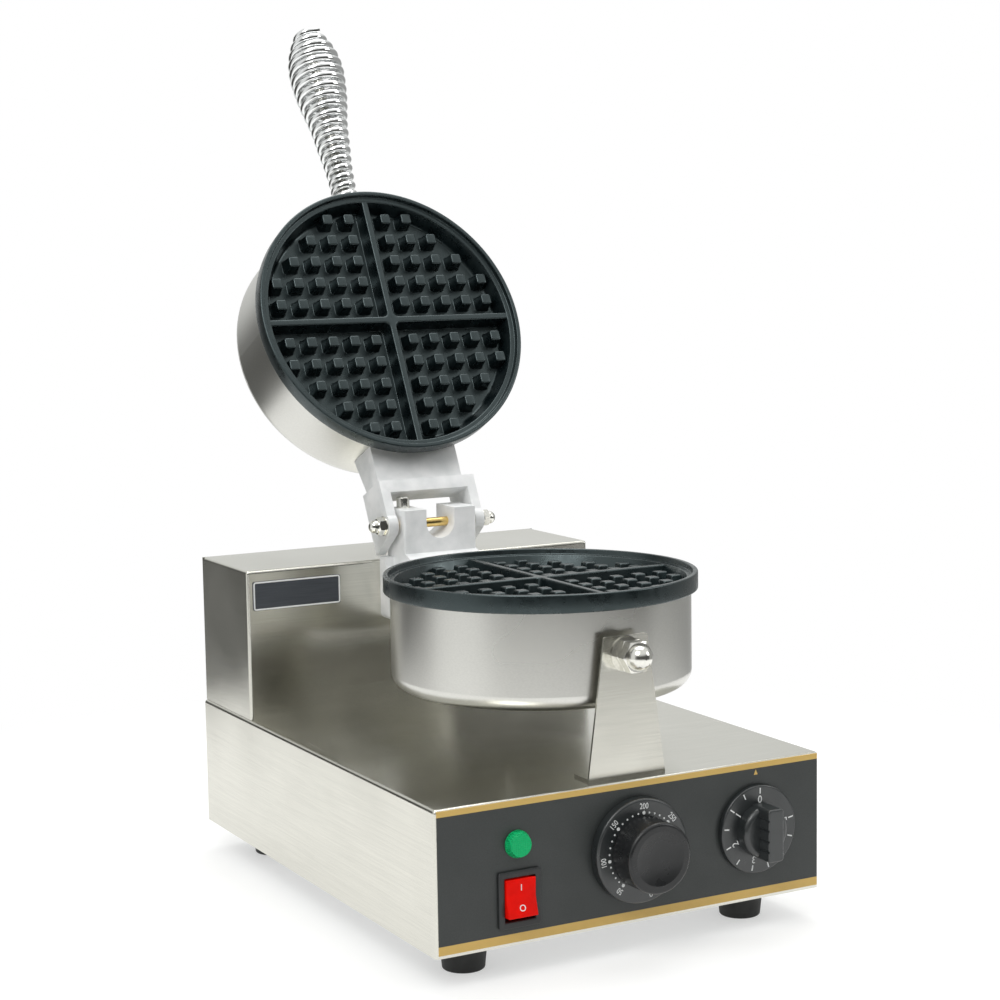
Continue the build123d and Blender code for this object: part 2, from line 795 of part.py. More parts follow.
# Yoke: the lid's casting with two arms round the block, modelled with the lid closed
def make_yoke():
    toe = (axle_y + toe_reach, axle_z + arm_top)
    bar_back = axle_y - crossbar_reach
    bar_front = bar_back - crossbar_thickness
    under = axle_z - crossbar_bottom
    part = None
    for side in (-1, 1):
        x0, x1 = sorted((side * arm_inner, side * arm_outer))
        low = (axle_y + arm_end_radius * math.cos(math.radians(10)),
               axle_z - arm_end_radius * math.sin(math.radians(10)))
        arm = side_profile(
            [toe, (bar_front, toe[1]), (bar_front, under), (axle_y, under), low], x0, x1)
        arm += rod_x(arm_end_radius, x0, x1, axle_y, axle_z)
        arm -= rod_x(axle_radius + seat_gap, x0 - 1, x1 + 1, axle_y, axle_z)
        part = arm if part is None else part + arm
    bar = side_profile(
        [(bar_back, under), (bar_back, axle_z + crossbar_inner_top),
         (bar_back - 3.5, toe[1]), (bar_front, toe[1]), (bar_front, under)],
        -arm_outer, arm_outer)
    part += bar
    neck = side_profile(
        [(plate_y + can_radius - 12, axle_z + yoke_neck_bottom),
         (plate_y + can_radius - 12, toe[1] + yoke_neck_flare), (bar_front + 1, toe[1]),
         (bar_front + 1, axle_z + yoke_neck_bottom)],
        -yoke_neck_half_width, yoke_neck_half_width)
    part += neck
    part -= Pos(0, plate_y, rim_z) * Cylinder(can_radius + seat_gap, 300)
    for x, z in can_screws:
        part -= rod_y(joint_screw_radius + screw_clearance, plate_y + can_radius - 20,
                      plate_y + can_radius + can_screw_depth, x, rim_z + rim_gap - z)
    return part


def make_axle():
    reach = arm_outer + axle_washer + 6
    return rod_x(axle_radius, -reach, reach, axle_y, axle_z)


def make_axle_washers():
    solids = []
    for side in (-1, 1):
        x0, x1 = sorted((side * arm_outer, side * (arm_outer + axle_washer)))
        ring = rod_x(6.2, x0, x1, axle_y, axle_z)
        solids.append(ring - rod_x(axle_radius + screw_clearance, x0 - 1, x1 + 1, axle_y, axle_z))
    return solids


def make_axle_nuts():
    body = acorn(axle_nut_width, axle_nut_hex, axle_nut_height, axle_radius + screw_clearance)
    seat = arm_outer + axle_washer
    return [
        Pos(side * seat, axle_y, axle_z) * Rot(0, side * 90, 0) * Rot(0, 0, 15) * body
        for side in (-1, 1)
    ]


# Handle: a coil of wire over a rod that is screwed into the upper can


def coil_radius(from_tip):
    """The coil's outer radius at a distance from its tip, smoothed between measured places."""
    for (a, ra), (b, rb) in zip(coil_outline, coil_outline[1:]):
        if from_tip <= b:
            t = min(max((from_tip - a) / (b - a), 0), 1)
            return ra + (rb - ra) * t
    return coil_outline[-1][1]


def smooth_radius(from_tip):
    """A mean over one pitch, so that the outline has no corners."""
    steps = 9
    span = [from_tip + coil_pitch * (i / (steps - 1) - 0.5) * 1.6 for i in range(steps)]
    return sum(coil_radius(s) for s in span) / steps - coil_wire / 2


def coil_point(turn):
    """A point of the coil's middle line: the handle runs along -Y from the can."""
    along = coil_base + coil_wire / 2 + turn / coil_turns * coil_length
    radius = smooth_radius(handle_tip_reach - along)
    angle = 2 * math.pi * turn
    return Vector(radius * math.cos(angle), plate_y - along, handle_z + radius * math.sin(angle))


def coil_direction(turn):
    step = 0.01
    return (coil_point(turn + step) - coil_point(turn - step)).normalized()


def biarc(p0, t0, p1, t1):
    """Two arcs that leave p0 along t0 and reach p1 along t1."""
    v = p1 - p0
    t = t0 + t1
    a = 2 * (1 - t0.dot(t1))
    b = v.dot(t)
    d = (-b + math.sqrt(b * b + a * v.dot(v))) / a
    middle = (p0 + p1 + (t0 - t1) * d) * 0.5
    tangent = ((p1 - t1 * d) - (p0 + t0 * d)).normalized()
    return [TangentArc(p0, middle, tangent=t0), TangentArc(middle, p1, tangent=tangent)]


def coil_path():
    spans = round(coil_turns * 4)
    edges = []
    first = coil_point(0)
    start = coil_direction(0)
    edges.append(Line(first - start * coil_wire, first))
    for i in range(spans):
        a = i * coil_turns / spans
        b = (i + 1) * coil_turns / spans
        edges += biarc(coil_point(a), coil_direction(a), coil_point(b), coil_direction(b))
    last = coil_point(coil_turns)
    end = coil_direction(coil_turns)
    edges.append(Line(last, last + end * coil_wire))
    return Wire([e.edge() for e in edges])


def coil_gap():
    """The least free space between one turn and the next, measured on points."""
    per_turn = 24
    points = [coil_point(i / per_turn) for i in range(int(coil_turns * per_turn) + 1)]
    least = 1e9
    for i, p in enumerate(points):
        for q in points[i + per_turn // 2:]:
            least = min(least, (p - q).length)
    return least - coil_wire


def make_handle_coil():
    path = coil_path()
    section = Plane(path @ 0, z_dir=path % 0) * Circle(coil_wire / 2)
    tube = sweep(section, path=path)
    wanted = math.pi * coil_wire ** 2 / 4 * path.length
    print("coil turns", coil_turns, "least gap", round(coil_gap(), 2),
          "volume over section times length", round(tube.volume / wanted, 4))
    return tube


def make_handle_rod():
    y0 = plate_y - handle_rod_end
    y1 = plate_y - can_radius + 8
    rod = rod_y(handle_rod_radius, y0, y1, 0, handle_z)
    return fillet(rod.edges().sort_by(Axis.Y)[:1], 2.0)


def make_handle_nuts():
    """One nut outside the can, under the coil, and one inside."""
    bore = Cylinder(handle_rod_radius + screw_clearance, 60)
    shape = (hexagon(handle_nut_width, handle_nut) & nut_edges(handle_nut_width, handle_nut)) - bore
    outside = Pos(0, plate_y - can_radius - 0.2, handle_z) * Rot(90, 0, 0) * shape
    inside = Pos(0, plate_y - can_radius + sheet + 0.6, handle_z) * Rot(-90, 0, 0) * shape
    return [outside, inside]


# Thermostat: dial and cap on a shaft, a body behind the panel, a bulb on the iron
def make_dial():
    y1 = panel_face - knob_gap
    disc = rod_y(dial_radius, y1 - dial_thickness, y1, 0, 0)
    disc = fillet(disc.edges().sort_by(Axis.Y)[:1], 1.5)
    disc -= rod_y(shaft_radius + screw_clearance, y1 - 20, y1 + 1, 0, 0)
    return Pos(thermostat_x, 0, base_bottom + thermostat_z) * disc


def make_cap():
    y1 = panel_face - knob_gap - dial_thickness
    y0 = y1 - cap_height
    cap = rod_y(cap_radius, y0, y1, 0, 0)
    cap = fillet(cap.edges().sort_by(Axis.Y)[:1], 2.0)
    cap -= Pos(0, y0 - cap_dimple_radius + cap_dimple_depth, 0) * Sphere(cap_dimple_radius)
    cap -= rod_y(shaft_radius + screw_clearance, y1 - 10, y1 + 1, 0, 0)
    return Pos(thermostat_x, 0, base_bottom + thermostat_z) * cap


def make_thermostat_shaft():
    y0 = panel_face - knob_gap - dial_thickness - 9
    return rod_y(shaft_radius, y0, control_body_face + shaft_inside, thermostat_x, base_bottom + thermostat_z)


def control_body(x, z, half_width, half_height, depth):
    """A control's body behind the front wall, with a bushing that is held in the wall's hole."""
    body = block(x - half_width, x + half_width, control_body_face, control_body_face + depth,
                 z - half_height, z + half_height)
    body = fillet(body.edges().filter_by(Axis.Y), 2.0)
    body += rod_y(shaft_radius + 1.4, 0, control_body_face + 1, x, z)
    body += rod_y(shaft_radius + 4, sheet, control_body_face + 1, x, z)
    return body - rod_y(shaft_radius + shaft_clearance, -5, control_body_face + shaft_inside + 1, x, z)


def make_thermostat_body():
    return control_body(thermostat_x, base_bottom + thermostat_z, 20, 17, control_body_depth)


def make_thermostat_bulb():
    z = -casting_depth - bulb_radius - seat_gap
    return rod_x(bulb_radius, -bulb_length / 2, bulb_length / 2, 0, z)


# Timer: a knob with a bar grip, and a clockwork body with a bell behind the panel
def make_timer_knob():
    y1 = panel_face - knob_gap
    y0 = y1 - timer_disc_thickness
    disc = rod_y(timer_disc_radius, y0, y1, 0, 0)
    disc = fillet(disc.edges().sort_by(Axis.Y)[:1], 1.0)
    hub = rod_y(timer_hub_radius, y0 - timer_hub_height, y0, 0, 0)
    hub = fillet(hub.edges().sort_by(Axis.Y)[:1], 3.0)
    half = timer_grip_width / 2
    tip = y1 - timer_grip_height
    reach = timer_grip_length / 2
    grip = block(-half, half, tip, y0, -reach, reach)
    grip = fillet(grip.edges().filter_by(Axis.Y), 2.0)
    grip = fillet(grip.faces().sort_by(Axis.Y)[0].edges(), 1.2)
    for z in grip_grooves:
        for side in (-1, 1):
            grip -= rod_y(grip_groove_radius, tip - 1, y0, side * (half + grip_groove_radius / 4), z)
    knob = disc + hub + grip
    knob -= rod_y(shaft_radius + screw_clearance, y1 - 12, y1 + 1, 0, 0)
    return Pos(timer_x, 0, base_bottom + timer_z) * knob


def make_timer_shaft():
    y0 = panel_face - knob_gap - 11
    return rod_y(shaft_radius, y0, control_body_face + shaft_inside, timer_x, base_bottom + timer_z)


def make_timer_body():
    return control_body(timer_x, base_bottom + timer_z, 23, 23, control_body_depth)


def make_timer_bell():
    y0 = control_body_face + control_body_depth
    bell = turned([(0, 0), (4, 0), (19, 9), (19, 12), (18, 12), (18, 9.6), (4, 1.2), (0, 1.2)])
    return Pos(timer_x, y0, base_bottom + timer_z) * Rot(-90, 0, 0) * bell


# Power switch: a frame clipped into the panel and a rocker in it
def make_switch_frame():
    z = base_bottom + switch_z
    w = switch_width / 2
    h = switch_height / 2
    front = panel_face - switch_rim_proud
    rim = block(switch_x - w, switch_x + w, front, panel_face, z - h, z + h)
    rim = fillet(rim.edges().filter_by(Axis.Y), 1.5)
    w -= switch_rim
    h -= switch_rim
    body = block(switch_x - w, switch_x + w, panel_face, switch_body_depth, z - h, z + h)
    part = rim + body
    w -= 1.0
    h -= 1.0
    return part - block(switch_x - w, switch_x + w, front - 1, switch_well_depth, z - h, z + h)


def make_rocker():
    """Two faces that meet in a shallow valley; the upper one is pressed in."""
    w = switch_width / 2 - switch_rim - 1.0 - rocker_clearance
    h = switch_height / 2 - switch_rim - 1.0 - rocker_clearance
    hinge_y = panel_face + rocker_hinge_depth
    front = panel_face - rocker_proud - 1.2
    rise = 2 * h * math.tan(math.radians(rocker_tilt)) / 2
    length = h - 1.3
    level = side_profile(
        [(front - rise / 2, -length), (front + rise / 2, 0), (front - rise / 2, length),
         (hinge_y, length - 0.6), (hinge_y + 4.0, 4.0), (hinge_y + 4.0, -4.0), (hinge_y, -length + 0.6)],
        -w, w)
    level += rod_x(1.5, -w, w, hinge_y, 0)
    tilted = Pos(0, hinge_y, 0) * Rot(-rocker_tilt, 0, 0) * Pos(0, -hinge_y, 0) * level
    return Pos(switch_x, 0, base_bottom + switch_z) * tilted


# Pilot lamp
def make_lamp_lens():
    dome = turned([(0, 0), (lamp_radius, 0), (lamp_radius, 1.2), (0, 1.2)])
    ball = Sphere(lamp_radius - 0.4) & rod_z(20, 0, 20, 0, 0)
    dome += Pos(0, 0, 1.2) * ball & rod_z(20, 0, lamp_proud, 0, 0)
    lens = Pos(lamp_x, panel_face, base_bottom + lamp_z) * Rot(90, 0, 0) * dome
    return lens + rod_y(lamp_hole_radius, panel_face, lamp_stem, lamp_x, base_bottom + lamp_z)


def make_lamp_body():
    z = base_bottom + lamp_z
    body = rod_y(lamp_hole_radius + 2, sheet, 26, lamp_x, z)
    return body - rod_y(lamp_hole_radius + screw_clearance, sheet - 1, lamp_stem + 0.5, lamp_x, z)


# Supply side: terminal block, earth stud and cable gland in the base
def make_terminal_block():
    x0 = gland_x - 22
    x1 = gland_x + 22
    y1 = casing_depth - 40
    z0 = base_bottom + 2 * sheet
    body = block(x0, x1, y1 - 20, y1, z0, z0 + 16)
    for i in range(3):
        x = gland_x + (i - 1) * 13
        body -= rod_z(2.6, z0 + 9, z0 + 17, x, y1 - 6)
        body -= rod_z(2.6, z0 + 9, z0 + 17, x, y1 - 14)
        body -= rod_y(1.8, y1 - 21, y1 + 1, x, z0 + 5)
    return body


def make_terminal_bracket():
    """A small angle that carries the terminal block on the base plate."""
    z0 = base_bottom + sheet
    y1 = casing_depth - 40
    return block(gland_x - 24, gland_x + 24, y1 - 22, y1 + 2, z0, z0 + sheet - seat_gap)


def make_earth_stud():
    x = gland_x + 45
    z0 = base_bottom + sheet
    return rod_z(5, z0, z0 + 2, x, casing_depth - 45) + rod_z(2, z0, z0 + 16, x, casing_depth - 45)


def make_cable_gland():
    """A bush with flanges on both sides of the rear wall and a bore for the supply cable."""
    y1 = casing_depth
    bush = rod_y(gland_radius, y1 - 14, y1 + 12, gland_x, gland_z)
    bush += rod_y(gland_radius + 3, y1, y1 + 4, gland_x, gland_z)
    nut = Pos(gland_x, y1 - sheet, gland_z) * Rot(90, 0, 0) * hexagon(2 * gland_radius + 6, 5)
    bush += nut
    bush = fillet(bush.edges().sort_by(Axis.Y)[-1:], 1.5)
    return bush - rod_y(gland_bore, y1 - 20, y1 + 20, gland_x, gland_z)


lower_frame = Pos(0, plate_y, rim_z)
upper_frame = Pos(0, plate_y, rim_z + rim_gap) * Rot(0, 180, 0)
opening = Pos(0, axle_y, axle_z) * Rot(-open_angle, 0, 0) * Pos(0, -axle_y, -axle_z)


def moved(place, shape):
    """Puts one solid or a list of them at a place."""
    if isinstance(shape, list):
        return [place * s for s in shape]
    return place * shape


def make_base_nodes():
    nodes["base_casing"] = make_base_casing()
    nodes["base_plate"] = make_base_plate()
    nodes["control_fascia"] = make_fascia()
    nodes["rubber_feet"] = make_feet()
    nodes["foot_screws"] = make_foot_screws()
    nodes["foot_nuts"] = make_foot_nuts()
    nodes["base_plate_screws"] = make_bottom_screws()
    nodes["tower_casing"] = make_tower_casing()
    nodes["tower_back_cover"] = make_tower_back()
    nodes["back_cover_screws"] = make_back_screws()
    nodes["tower_screws"] = make_tower_screws()
    nodes["nameplate"] = make_nameplate()
    nodes["front_bracket"] = make_front_bracket()
    nodes["bracket_screws"] = make_bracket_screws()
    nodes["support_bolt"] = make_support_bolt()
    nodes["support_spacer"] = make_support_spacer()
    nodes["support_washer"] = make_support_washer()
    nodes["support_nut"] = make_support_nut()
    nodes["support_cap_nut"] = make_support_cap()
    nodes["lower_hinge_casting"] = make_lower_hinge()
    nodes["hinge_bolts"] = make_hinge_bolts()
    nodes["lead_ferrule"] = make_lead_ferrule()
    nodes["terminal_block"] = make_terminal_block()
    nodes["terminal_bracket"] = make_terminal_bracket()
    nodes["earth_stud"] = make_earth_stud()
    nodes["cable_gland"] = make_cable_gland()


def make_control_nodes():
    nodes["thermostat_dial"] = make_dial()
    nodes["thermostat_cap"] = make_cap()
    nodes["thermostat_shaft"] = make_thermostat_shaft()
    nodes["thermostat_body"] = make_thermostat_body()
    nodes["thermostat_bulb"] = moved(lower_frame, make_thermostat_bulb())
    nodes["timer_knob"] = make_timer_knob()
    nodes["timer_shaft"] = make_timer_shaft()
    nodes["timer_body"] = make_timer_body()
    nodes["timer_bell"] = make_timer_bell()
    nodes["switch_frame"] = make_switch_frame()
    nodes["power_rocker"] = make_rocker()
    nodes["pilot_lens"] = make_lamp_lens()
    nodes["pilot_lamp_body"] = make_lamp_body()


def make_iron_nodes():
    iron = make_iron()
    heater = make_heater()
    clamp = make_clamp()
    insulation = make_insulation()
    bolts = make_tie_bolts()
    screws = make_can_screws(can_radius + can_screw_depth - 1)
    lower_can = make_can(support_bolt_radius, support_bolt_below_rim)
    upper_can = make_can(handle_rod_radius, handle_over_rim)
    halves = [
        ("lower", lower_frame, lower_can),
        ("upper", opening * upper_frame, upper_can),
    ]
    for name, place, can in halves:
        nodes[name + "_iron"] = moved(place, iron)
        nodes[name + "_can"] = moved(place, can)
        nodes[name + "_heater"] = moved(place, heater)
        nodes[name + "_heater_clamp"] = moved(place, clamp)
        nodes[name + "_insulation"] = moved(place, insulation)
        nodes[name + "_tie_bolts"] = moved(place, bolts)
        nodes[name + "_can_screws"] = moved(place, screws)


def make_lid_nodes():
    nodes["hinge_yoke"] = moved(opening, make_yoke())
    nodes["hinge_axle"] = moved(opening, make_axle())
    nodes["axle_washers"] = moved(opening, make_axle_washers())
    nodes["axle_cap_nuts"] = moved(opening, make_axle_nuts())
    nodes["handle_coil"] = moved(opening, make_handle_coil())
    nodes["handle_rod"] = moved(opening, make_handle_rod())
    nodes["handle_nuts"] = moved(opening, make_handle_nuts())


make_base_nodes()
make_control_nodes()
make_iron_nodes()
make_lid_nodes()


def as_compound(shape):
    """One compound of every solid in a shape or a list of shapes."""
    group = shape if isinstance(shape, list) else [shape]
    return Compound([solid for s in group for solid in s.solids()])


# The whole object is centred over its own box, and stands on Z = 0
shapes = {name: as_compound(shape) for name, shape in nodes.items()}
whole = Compound([s for shape in shapes.values() for s in shape.solids()]).bounding_box()
centre_y = (whole.min.Y + whole.max.Y) / 2
shapes = {name: Pos(0, -centre_y, 0) * shape for name, shape in shapes.items()}
box_size = [round(v, 2) for v in (whole.size.X, whole.size.Y, whole.size.Z)]
print("box", box_size, "centre y", round(centre_y, 3))

os.makedirs("parts", exist_ok=True)
for name, shape in shapes.items():
    export_step(shape, f"parts/{name}.step")
print(len(shapes), "nodes")
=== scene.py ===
import json
import math

import bmesh
import bpy
from mathutils import Matrix, Vector

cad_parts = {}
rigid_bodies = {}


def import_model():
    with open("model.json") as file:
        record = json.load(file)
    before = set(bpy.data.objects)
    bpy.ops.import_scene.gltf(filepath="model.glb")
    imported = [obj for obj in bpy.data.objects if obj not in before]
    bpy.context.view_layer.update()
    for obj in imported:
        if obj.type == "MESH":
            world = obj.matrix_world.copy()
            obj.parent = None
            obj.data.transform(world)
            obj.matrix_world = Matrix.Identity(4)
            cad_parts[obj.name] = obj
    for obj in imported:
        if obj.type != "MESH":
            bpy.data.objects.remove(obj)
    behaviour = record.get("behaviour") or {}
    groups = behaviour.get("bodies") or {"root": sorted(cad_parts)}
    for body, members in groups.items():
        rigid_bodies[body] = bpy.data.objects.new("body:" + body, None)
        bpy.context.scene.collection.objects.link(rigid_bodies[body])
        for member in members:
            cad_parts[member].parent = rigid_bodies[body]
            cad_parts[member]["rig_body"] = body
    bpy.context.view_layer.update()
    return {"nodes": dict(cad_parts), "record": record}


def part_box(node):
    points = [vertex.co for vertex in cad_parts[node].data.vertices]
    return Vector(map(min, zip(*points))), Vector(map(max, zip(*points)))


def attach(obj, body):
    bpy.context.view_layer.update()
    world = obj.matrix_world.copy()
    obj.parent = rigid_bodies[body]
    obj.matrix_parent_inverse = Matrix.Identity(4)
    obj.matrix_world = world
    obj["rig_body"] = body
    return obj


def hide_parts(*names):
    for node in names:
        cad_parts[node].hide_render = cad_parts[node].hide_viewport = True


# A commercial waffle maker with one round iron, its lid open.
# Sizes are in millimetres: X to the right, Y back from the base's front, Z up from the worktop.
# PART turns them into the scene's metres. The floor, the studio and the lamps are in metres.

MM = 0.001

# Camera
CAMERA_PLACE = (-618.35, -985.37, 393.77)
CAMERA_AZIMUTH = -28.548
CAMERA_ELEVATION = 6.751
CAMERA_ROLL = -0.917
CAMERA_LENS = 77.51
CAMERA_SENSOR = 36.0

# Irons: radii, and heights measured from the rim's face
RIM_RADIUS = 92.5
RIM_INNER = 89.6
RIM_SLOPE = 0.5
RIM_SKIRT = 10.5
LEDGE_DROP = 3.4
CAVITY_RADIUS = 86.0
CAVITY_FLOOR_RADIUS = 82.6
CAVITY_DEPTH = 15.0
CASTING_RADIUS = 87.2
CASTING_DEPTH = 21.0
LATHE_STEPS = 160

# The rounding of each corner of the iron's outline, from the cavity's floor out and down
IRON_ROUNDING = (2.2, 0.7, 0.7, 0.6, 0.9, 0.8, 0.5, 1.0)

# Pegs and the cross in the cavity, with walls that slope from base to top
PEG_BASE = 9.6
PEG_TOP = 7.2
PEG_HEIGHT = 9.7
PEG_FIRST = 13.5
PEG_PITCH = 15.3
PEG_REACH = 80.5
PEG_ROWS = 5
PEG_CORNER = 1.3
PEG_CORNER_GROWTH = 0.6
RIB_BASE = 6.4
RIB_TOP = 4.4
RIB_UNDER_LEDGE = 0.3
RIB_FILLET = 3.4
RIB_FILLET_LOSS = 0.5
RIB_IN_CASTING = 1.0
FOOT_FLARE = 0.6
TOP_ROUND = 0.9
WALL_STEPS = 4
CORNER_STEPS = 5
SUNK = 0.02

# Where the irons are, the hinge and the handle
PLATE_TO_FRONT = 103.3
RIM_Z = 203.7
RIM_GAP = 0.5
OPEN_ANGLE = 116.4
AXLE_Y = 242.5
AXLE_Z = 217.6
HANDLE_OVER_RIM = 30.0
HANDLE_TIP = 232.0
COIL_WIRE = 5.2
COIL_BASE = 96.0
COIL_LENGTH = 130.8
COIL_TURNS = 19.75
COIL_STEPS = 28

# Panel, with the stripes on the fascia
PANEL_Y = -0.6
HIGH_STRIPE_FROM = 95.8
LOW_STRIPE_TO = 25.7

# Thermostat dial: each mark's number and its angle from the right, counter-clockwise
DIAL_X = 0.0
DIAL_Z = 61.0
DIAL_FACE = -7.2
DIAL_DOT_RADIUS = 21.7
DIAL_NUMBER_RADIUS = 25.3
DIAL_NUMBER_SIZE = 4.6
DIAL_NUMBER_WIDTH = 0.82
THERMOSTAT_MARKS = (
    ("50", 233.0), ("100", 187.0), ("150", 137.0),
    ("200", 88.0), ("250", 41.0), ("300", -7.0),
)
OFF_ANGLE = 281.0
BIG_DOT = 1.0
SMALL_DOT = 0.55
SMALL_DOTS = 4

# Timer dial and the pointer above it
TIMER_X = 80.0
TIMER_Z = 61.0
TIMER_FACE = -4.2
TIMER_NUMBER_RADIUS = 17.3
TIMER_NUMBER_SIZE = 6.0
TICK_RADIUS = 22.4
TICK_WIDTH = 0.75
TICK_LENGTH = 3.3
TIMER_STEP = 28.3
TIMER_START = 88.0
TIMER_TICKS = 11
POINTER_ASIDE = 0.3
POINTER_Z = 93.4
POINTER_SIZE = 2.6
POINTER_PEAK = 1.3

# Switch: the rocker's hinge line is behind the panel's front, its faces before it
ROCKER_X = -75.0
ROCKER_Z = 45.0
ROCKER_TILT = 7.0
ROCKER_HINGE_DEPTH = 4.0
ROCKER_PROUD = 3.8
SIGN_REACH = 5.6
SIGN_SIZE = 5.0
SIGN_LIFT = 0.02

# Print, and the nameplate's raised edge
PRINT_PROUD = 0.06
PRINT_THICK = 0.10
DISC_STEPS = 18
INK_SPREAD = 0.005
EDGE_INSET = 0.15
EDGE_WIDTH = 1.0
EDGE_PROUD = 0.22
EDGE_SUNK = 0.02
EDGE_SLOPE = 0.15
EDGE_RADIUS = 1.6
EDGE_LEAST_RADIUS = 0.2

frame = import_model()
front_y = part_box("base_casing")[0][1]
plate_place = Vector((0, PLATE_TO_FRONT, RIM_Z))

PART = Matrix.Translation((0, front_y, 0)) @ Matrix.Scale(MM, 4)
AXLE = Matrix.Translation((0, AXLE_Y, AXLE_Z))
OPENING = AXLE @ Matrix.Rotation(math.radians(-OPEN_ANGLE), 4, "X") @ AXLE.inverted()
LOWER = PART @ Matrix.Translation(plate_place)
UPPER = (PART @ OPENING @ Matrix.Translation(plate_place + Vector((0, 0, RIM_GAP)))
         @ Matrix.Rotation(math.pi, 4, "Y"))

# Noise lies mostly between these two values
NOISE_LOW = 0.3
NOISE_HIGH = 0.7


class Nodes:
    """A node tree, with short calls for its nodes and the links between them."""

    def __init__(self, tree):
        self.tree = tree

    def node(self, kind, **values):
        made = self.tree.nodes.new(kind)
        for name, value in values.items():
            setattr(made, name, value)
        return made

    def link(self, output, target):
        self.tree.links.new(output, target)

    def coordinates(self, kind):
        return self.node("ShaderNodeTexCoord").outputs[kind]

    def split(self, vector):
        """The X, Y and Z of a vector, as three outputs."""
        node = self.node("ShaderNodeSeparateXYZ")
        self.link(vector, node.inputs["Vector"])
        return node.outputs

    def math(self, operation, first, second):
        """The result for two values, each a number or an output."""
        node = self.node("ShaderNodeMath", operation=operation)
        for socket, value in zip(node.inputs, (first, second)):
            if isinstance(value, bpy.types.NodeSocket):
                self.link(value, socket)
            else:
                socket.default_value = value
        return node.outputs["Value"]

    def remap(self, value, start, end, low=0.0, high=1.0, kind="LINEAR"):
        """value, mapped from start..end to low..high."""
        node = self.node("ShaderNodeMapRange", interpolation_type=kind)
        node.inputs["From Min"].default_value = start
        node.inputs["From Max"].default_value = end
        node.inputs["To Min"].default_value = low
        node.inputs["To Max"].default_value = high
        self.link(value, node.inputs["Value"])
        return node.outputs["Result"]

    def mix_colour(self, factor, first, second):
        """A colour between two, each three numbers or an output."""
        node = self.node("ShaderNodeMix", data_type="RGBA")
        self.link(factor, node.inputs["Factor"])
        for socket, value in ((node.inputs[6], first), (node.inputs[7], second)):
            if isinstance(value, bpy.types.NodeSocket):
                self.link(value, socket)
            else:
                socket.default_value = (*value, 1.0)
        return node.outputs[2]


class Look(Nodes):
    """A material with a Principled shader, and short calls for what varies over its surface."""

    def __init__(self, name, colour, roughness, metallic=0.0, **sockets):
        self.material = bpy.data.materials.new(name)
        self.material.use_nodes = True
        super().__init__(self.material.node_tree)
        self.shader = self.tree.nodes["Principled BSDF"]
        self.colour = colour
        self.roughness = roughness
        self.shader.inputs["Base Color"].default_value = (*colour, 1.0)
        self.shader.inputs["Roughness"].default_value = roughness
        self.shader.inputs["Metallic"].default_value = metallic
        for socket, value in sockets.items():
            self.shader.inputs[socket.replace("_", " ")].default_value = value
        self.material.diffuse_color = (*colour, 1.0)
        self.place = self.coordinates("Object")
        self.bumped = None

    def noise(self, grains, detail, stretch=(1, 1, 1)):
        """Noise with this many grains to the metre, times one factor for each axis."""
        mapping = self.node("ShaderNodeMapping")
        mapping.inputs["Scale"].default_value = stretch
        self.link(self.place, mapping.inputs["Vector"])
        noise = self.node("ShaderNodeTexNoise")
        noise.inputs["Scale"].default_value = grains
        noise.inputs["Detail"].default_value = detail
        self.link(mapping.outputs["Vector"], noise.inputs["Vector"])
        return noise.outputs["Fac"]

    def paint(self, colour):
        self.link(colour, self.shader.inputs["Base Color"])

    def shade(self, value, spread):
        """Paints the base colour, lighter and darker by spread with a noise, and returns it."""
        dark = [c * (1 - spread) for c in self.colour]
        light = [min(1.0, c * (1 + spread)) for c in self.colour]
        shaded = self.mix_colour(self.remap(value, NOISE_LOW, NOISE_HIGH), dark, light)
        self.paint(shaded)
        return shaded

    def rough(self, value, spread):
        """Makes the surface smoother and rougher by spread with a noise."""
        low = self.roughness - spread
        high = self.roughness + spread
        varied = self.remap(value, NOISE_LOW, NOISE_HIGH, low, high)
        self.link(varied, self.shader.inputs["Roughness"])

    def bump(self, value, depth, strength):
        """Adds a bump of this depth in millimetres on top of the bumps before it."""
        node = self.node("ShaderNodeBump")
        node.inputs["Distance"].default_value = depth * MM
        node.inputs["Strength"].default_value = strength
        self.link(value, node.inputs["Height"])
        if self.bumped is not None:
            self.link(self.bumped, node.inputs["Normal"])
        self.bumped = node.outputs["Normal"]
        self.link(self.bumped, self.shader.inputs["Normal"])


# Materials
GOLD = (0.78, 0.52, 0.15)
SIDE_NORMAL = 0.7


def brushed(name, colour, roughness, along, across):
    """Brushed steel: fine lines along each face of the sheet, and a little cloudy wear.

    along and across are the grains to the metre, along the lines and across them.
    """
    look = Look(name, colour, roughness, metallic=1.0, Anisotropic=0.75)
    front_lines = look.noise(1.0, 3.0, (along, across, across))
    side_lines = look.noise(1.0, 3.0, (across, along, across))
    facing = look.math("ABSOLUTE", look.split(look.coordinates("Normal"))["X"], 0.0)
    side = look.math("GREATER_THAN", facing, SIDE_NORMAL)
    # The highlight stretches along this: up the front and the sides, and back over the top
    across_grain = look.node("ShaderNodeCombineXYZ")
    across_grain.inputs["Z"].default_value = 1.0
    look.link(look.math("SUBTRACT", 1.0, side), across_grain.inputs["Y"])
    look.link(across_grain.outputs["Vector"], look.shader.inputs["Tangent"])
    lines = look.mix_colour(side, front_lines, side_lines)
    look.shade(lines, spread=0.05)
    look.rough(look.noise(16.0, 4.0), spread=0.04)
    look.bump(lines, depth=0.016, strength=0.5)
    return look.material


def drawn(name, colour, roughness):
    """The drawn steel of the cans: short crossed scratches and a soft satin."""
    look = Look(name, colour, roughness, metallic=1.0)
    scratches = look.noise(1.0, 2.0, (700, 700, 1300))
    look.shade(scratches, spread=0.03)
    look.rough(look.noise(12.0, 2.0), spread=0.025)
    look.bump(scratches, depth=0.008, strength=0.4)
    return look.material


